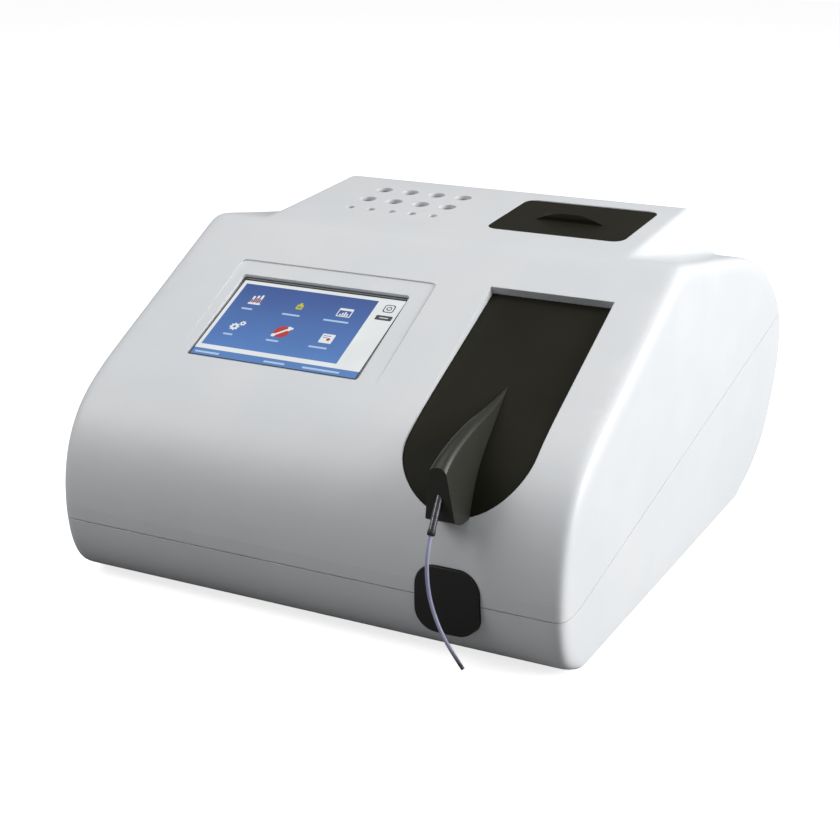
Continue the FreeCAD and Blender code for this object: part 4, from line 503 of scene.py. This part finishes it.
shown("screen_dial_face", white_light, 6, [disc_outline(*DIAL, 1.1)])
shown("screen_rim", lit("printed_black", "141414"), 4, [
    box_outline(wide / 2, RIM / 2, wide, RIM), box_outline(wide / 2, high - RIM / 2, wide, RIM),
    box_outline(RIM / 2, high / 2, RIM, high - 2 * RIM),
    box_outline(wide - RIM / 2, high / 2, RIM, high - 2 * RIM)])

# Pictures: a tube rack, a bottle, a chart window, two gear wheels, a tool on a red disc, and a
# sheet of results. Each is plain flat shapes, lit like the rest of the screen.
rack, bottle, window = [(u, ROWS[0]) for u in COLUMNS]
gears, tool, sheet = [(u, ROWS[1]) for u in COLUMNS]
RACK_PITCH = 2.8
big_gear = (gears[0] - 1.4, gears[1] - 1.2)
small_gear = (gears[0] + 2.9, gears[1] + 2.6)
shown("screen_pale_shapes", white_light, 3, [
    box_outline(rack[0], rack[1] - 3.2, 9, 1.6, 0.3),
    box_outline(rack[0] - RACK_PITCH, rack[1] + 0.9, 1.6, 6.4, 0.4),
    box_outline(rack[0], rack[1] + 1.3, 1.6, 7.2, 0.4),
    box_outline(rack[0] + RACK_PITCH, rack[1] + 1.7, 1.6, 8, 0.4),
    box_outline(*window, 10, 8, 0.4),
    disc_outline(*big_gear, 2.7, 8, 0.8),
    disc_outline(*small_gear, 1.7, 7, 0.6),
    box_outline(*sheet, 9, 8.4, 0.4)])
shown("screen_red_shapes", lit("lit_red", "b0302a"), 4, [
    box_outline(rack[0] - RACK_PITCH, rack[1] - 0.6, 1.2, 2.8, 0.2),
    box_outline(rack[0], rack[1] + 0.2, 1.2, 4.2, 0.2),
    box_outline(rack[0] + RACK_PITCH, rack[1] - 0.2, 1.2, 3.4, 0.2),
    disc_outline(*tool, 5.4),
    disc_outline(sheet[0] + 1.2, sheet[1] - 0.6, 1.3)])
shown("screen_tool", white_light, 5, [
    bar_outline((tool[0] - 3.6, tool[1] - 3.2), (tool[0] + 3.6, tool[1] + 3.2), 1.5),
    disc_outline(tool[0] + 4.3, tool[1] + 3.8, 1.5, 3, 0.8),
    disc_outline(tool[0] - 4.2, tool[1] - 3.7, 1.5)])
shown("screen_bottle", lit("lit_yellow", "c8b63a"), 3, [
    box_outline(bottle[0], bottle[1] - 0.6, 4.6, 4.4, 0.5),
    box_outline(bottle[0], bottle[1] + 2.4, 2, 1.6, 0.2)])
shown("screen_bottle_label", lit("lit_green", "5c9a4c"), 4,
      [box_outline(bottle[0], bottle[1] - 0.8, 3, 1.9)])
shown("screen_blue_shapes", field_light, 4, [
    box_outline(window[0], window[1] - 0.7, 8.6, 5.2),
    disc_outline(*big_gear, 1.1),
    disc_outline(*small_gear, 0.7),
    box_outline(sheet[0] - 0.8, sheet[1] + 2.4, 5.6, 0.6),
    box_outline(sheet[0] - 1.8, sheet[1] + 0.8, 3.4, 0.6)])
shown("screen_chart", white_light, 5, [
    box_outline(window[0] - 2.4 + 1.6 * i, window[1] - 3.1 + tall / 2, 1, tall)
    for i, tall in enumerate((1.6, 2.9, 3.9, 2.4))])

# Recess panel and sipper head: black ABS with a warm, olive cast, moulded in a fine grain. The
# head is a narrow ridge that carries the steel sleeve, and is a little glossier than the panel.
black_abs = grained("moulded_black_abs", "26251c", "222119", roughness=0.44, grain_mm=0.7,
                    depth_mm=0.02, soften_mm=0.5, Specular_IOR_Level=0.08)
dress(black_abs, "recess_panel")
dress(grained("glossier_black_abs", "30312a", "2b2c26", roughness=0.38, grain_mm=0.7,
              depth_mm=0.02, soften_mm=0.9, Specular_IOR_Level=0.4), "sipper_head")

# Sipper sleeve: drawn stainless capillary, brushed along its length, with a dark rubber seal
# turned over its lower end. Places are in the part's own millimetres.
FRONT_Y, BASE_Z = -176.3, 4
SLEEVE_END = (99.5, -42.668, 86.523)
SLEEVE_TILT = math.radians(30)
SEAL_PROFILE = ((-2.6, 2.02), (-2.4, 2.25), (0.2, 2.25), (0.6, 1.7), (0.6, 1.16), (0.02, 1.16),
                (0.02, 2.02))
SEAL_SIDES = 32


def in_frame(x, y, z):
    """A place of the part, in metres from the frame's zero."""
    return x * MM, (y + FRONT_Y) * MM, (z + BASE_Z) * MM


dress(rolled("drawn_stainless", "6c6b70", "808086", roughness=0.3, line_mm=0.2, cloud_mm=3),
      "sipper_sleeve")
seal_rubber = grained("seal_fluororubber", "1a1a1c", "242426", roughness=0.5, grain_mm=0.4,
                      depth_mm=0.01, drift_mm=2)
sleeve_way = Vector((0, -math.sin(SLEEVE_TILT), -math.cos(SLEEVE_TILT)))
seal_turn = sleeve_way.to_track_quat("Z", "Y").to_matrix()
seal = bmesh.new()
rows = []
for i in range(SEAL_SIDES):
    turn = seal_turn @ Matrix.Rotation(2 * math.pi * i / SEAL_SIDES, 3, "Z")
    rows.append([seal.verts.new(Vector(in_frame(*SLEEVE_END)) + turn @ Vector((r, 0, a)) * MM)
                 for a, r in SEAL_PROFILE])
for one, two in zip(rows, rows[1:] + rows[:1]):
    for k in range(len(SEAL_PROFILE)):
        n = (k + 1) % len(SEAL_PROFILE)
        seal.faces.new((one[k], two[k], two[n], one[n])).smooth = True
bmesh.ops.recalc_face_normals(seal, faces=seal.faces)
place_piece("sleeve_seal", seal, seal_rubber, "housing")

# Sipper tube: a thin drawn fluoropolymer tube, pale lavender where light passes through it. It
# hangs from the steel sleeve by its own stiffness, and its colour turns darker grey towards its
# tip.
TUBE_RADIUS = 1.1
DARKENING_LOW, DARKENING_HIGH = 19, 33
TINT_MM = 50 / 3
sipper_route = (SLEEVE_END, (99.6, -46.2, 80), (98.9, -46.8, 69), (99.9, -46.8, 55.5),
                (102.6, -46.5, 44), (107.2, -46.2, 32.5), (112.9, -46, 22.7), (121, -45.8, 12))
curve = bpy.data.curves.new("sipper_line", "CURVE")
curve.dimensions = "3D"
curve.bevel_depth = 1
curve.bevel_resolution = 6
curve.resolution_u = 16
curve.use_fill_caps = True
spline = curve.splines.new("NURBS")
spline.points.add(len(sipper_route) - 1)
for point, place in zip(spline.points, sipper_route):
    point.co = (*in_frame(*place), 1)
    point.radius = TUBE_RADIUS * MM
spline.order_u = 3
spline.use_endpoint_u = True
sipper = bpy.data.objects.new("sipper_line", curve)
bpy.context.scene.collection.objects.link(sipper)
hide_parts("sipper_tube")
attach(sipper, "housing")
tubing, tree, shader = blank("fluoropolymer_tube", "bebed6", 0.24, IOR=1.35,
                             Subsurface_Weight=0.3, Subsurface_Scale=0.6 * MM,
                             Transmission_Weight=0.25)
place = add(tree, "ShaderNodeTexCoord")
drift = add(tree, "ShaderNodeTexNoise", {"Vector": place.outputs["Object"],
                                         "Scale": per(TINT_MM)})
tint = add(tree, "ShaderNodeValToRGB", {"Fac": drift.outputs["Fac"]})
tint.color_ramp.elements[0].color = linear("a6acd2")
tint.color_ramp.elements[1].color = linear("d2d0e4")
# The tube's colour is mixed towards dark grey near its tip: fully below 19 mm above the floor, not
# at all above 33 mm.
height = add(tree, "ShaderNodeSeparateXYZ", {0: place.outputs["Object"]})
tip_darkening = add(tree, "ShaderNodeMapRange", {"Value": height.outputs["Z"],
                                         "From Min": DARKENING_LOW * MM,
                                         "From Max": DARKENING_HIGH * MM})
darkened_tint = add(tree, "ShaderNodeMix", {0: tip_darkening.outputs[0], 6: linear("55505c"),
                                   7: tint.outputs["Color"]}, data_type="RGBA")
tree.links.new(darkened_tint.outputs[2], shader.inputs["Base Color"])
curve.materials.append(tubing)

# Aspirate key: a crowned cap of black ABS with a softer, duller face than the recess, on its
# stem. A stainless clip and a spring of drawn wire hold it out.
dress(grained("soft_black_abs", "1e1c1b", "232120", roughness=0.44, grain_mm=0.5,
              depth_mm=0.012, soften_mm=0.8, Specular_IOR_Level=0.4), "aspirate_key")
dress(rolled("spring_wire", "7f8183", "8f8f8c", roughness=0.3, line_mm=0.2, cloud_mm=3),
      "key_spring", "key_clip", "lid_hinge_pins")

# Cuvette lid: black ABS like the recess panel, moulded with a low arched grip. It turns on two
# ground steel pins.
dress(black_abs, "cuvette_lid")
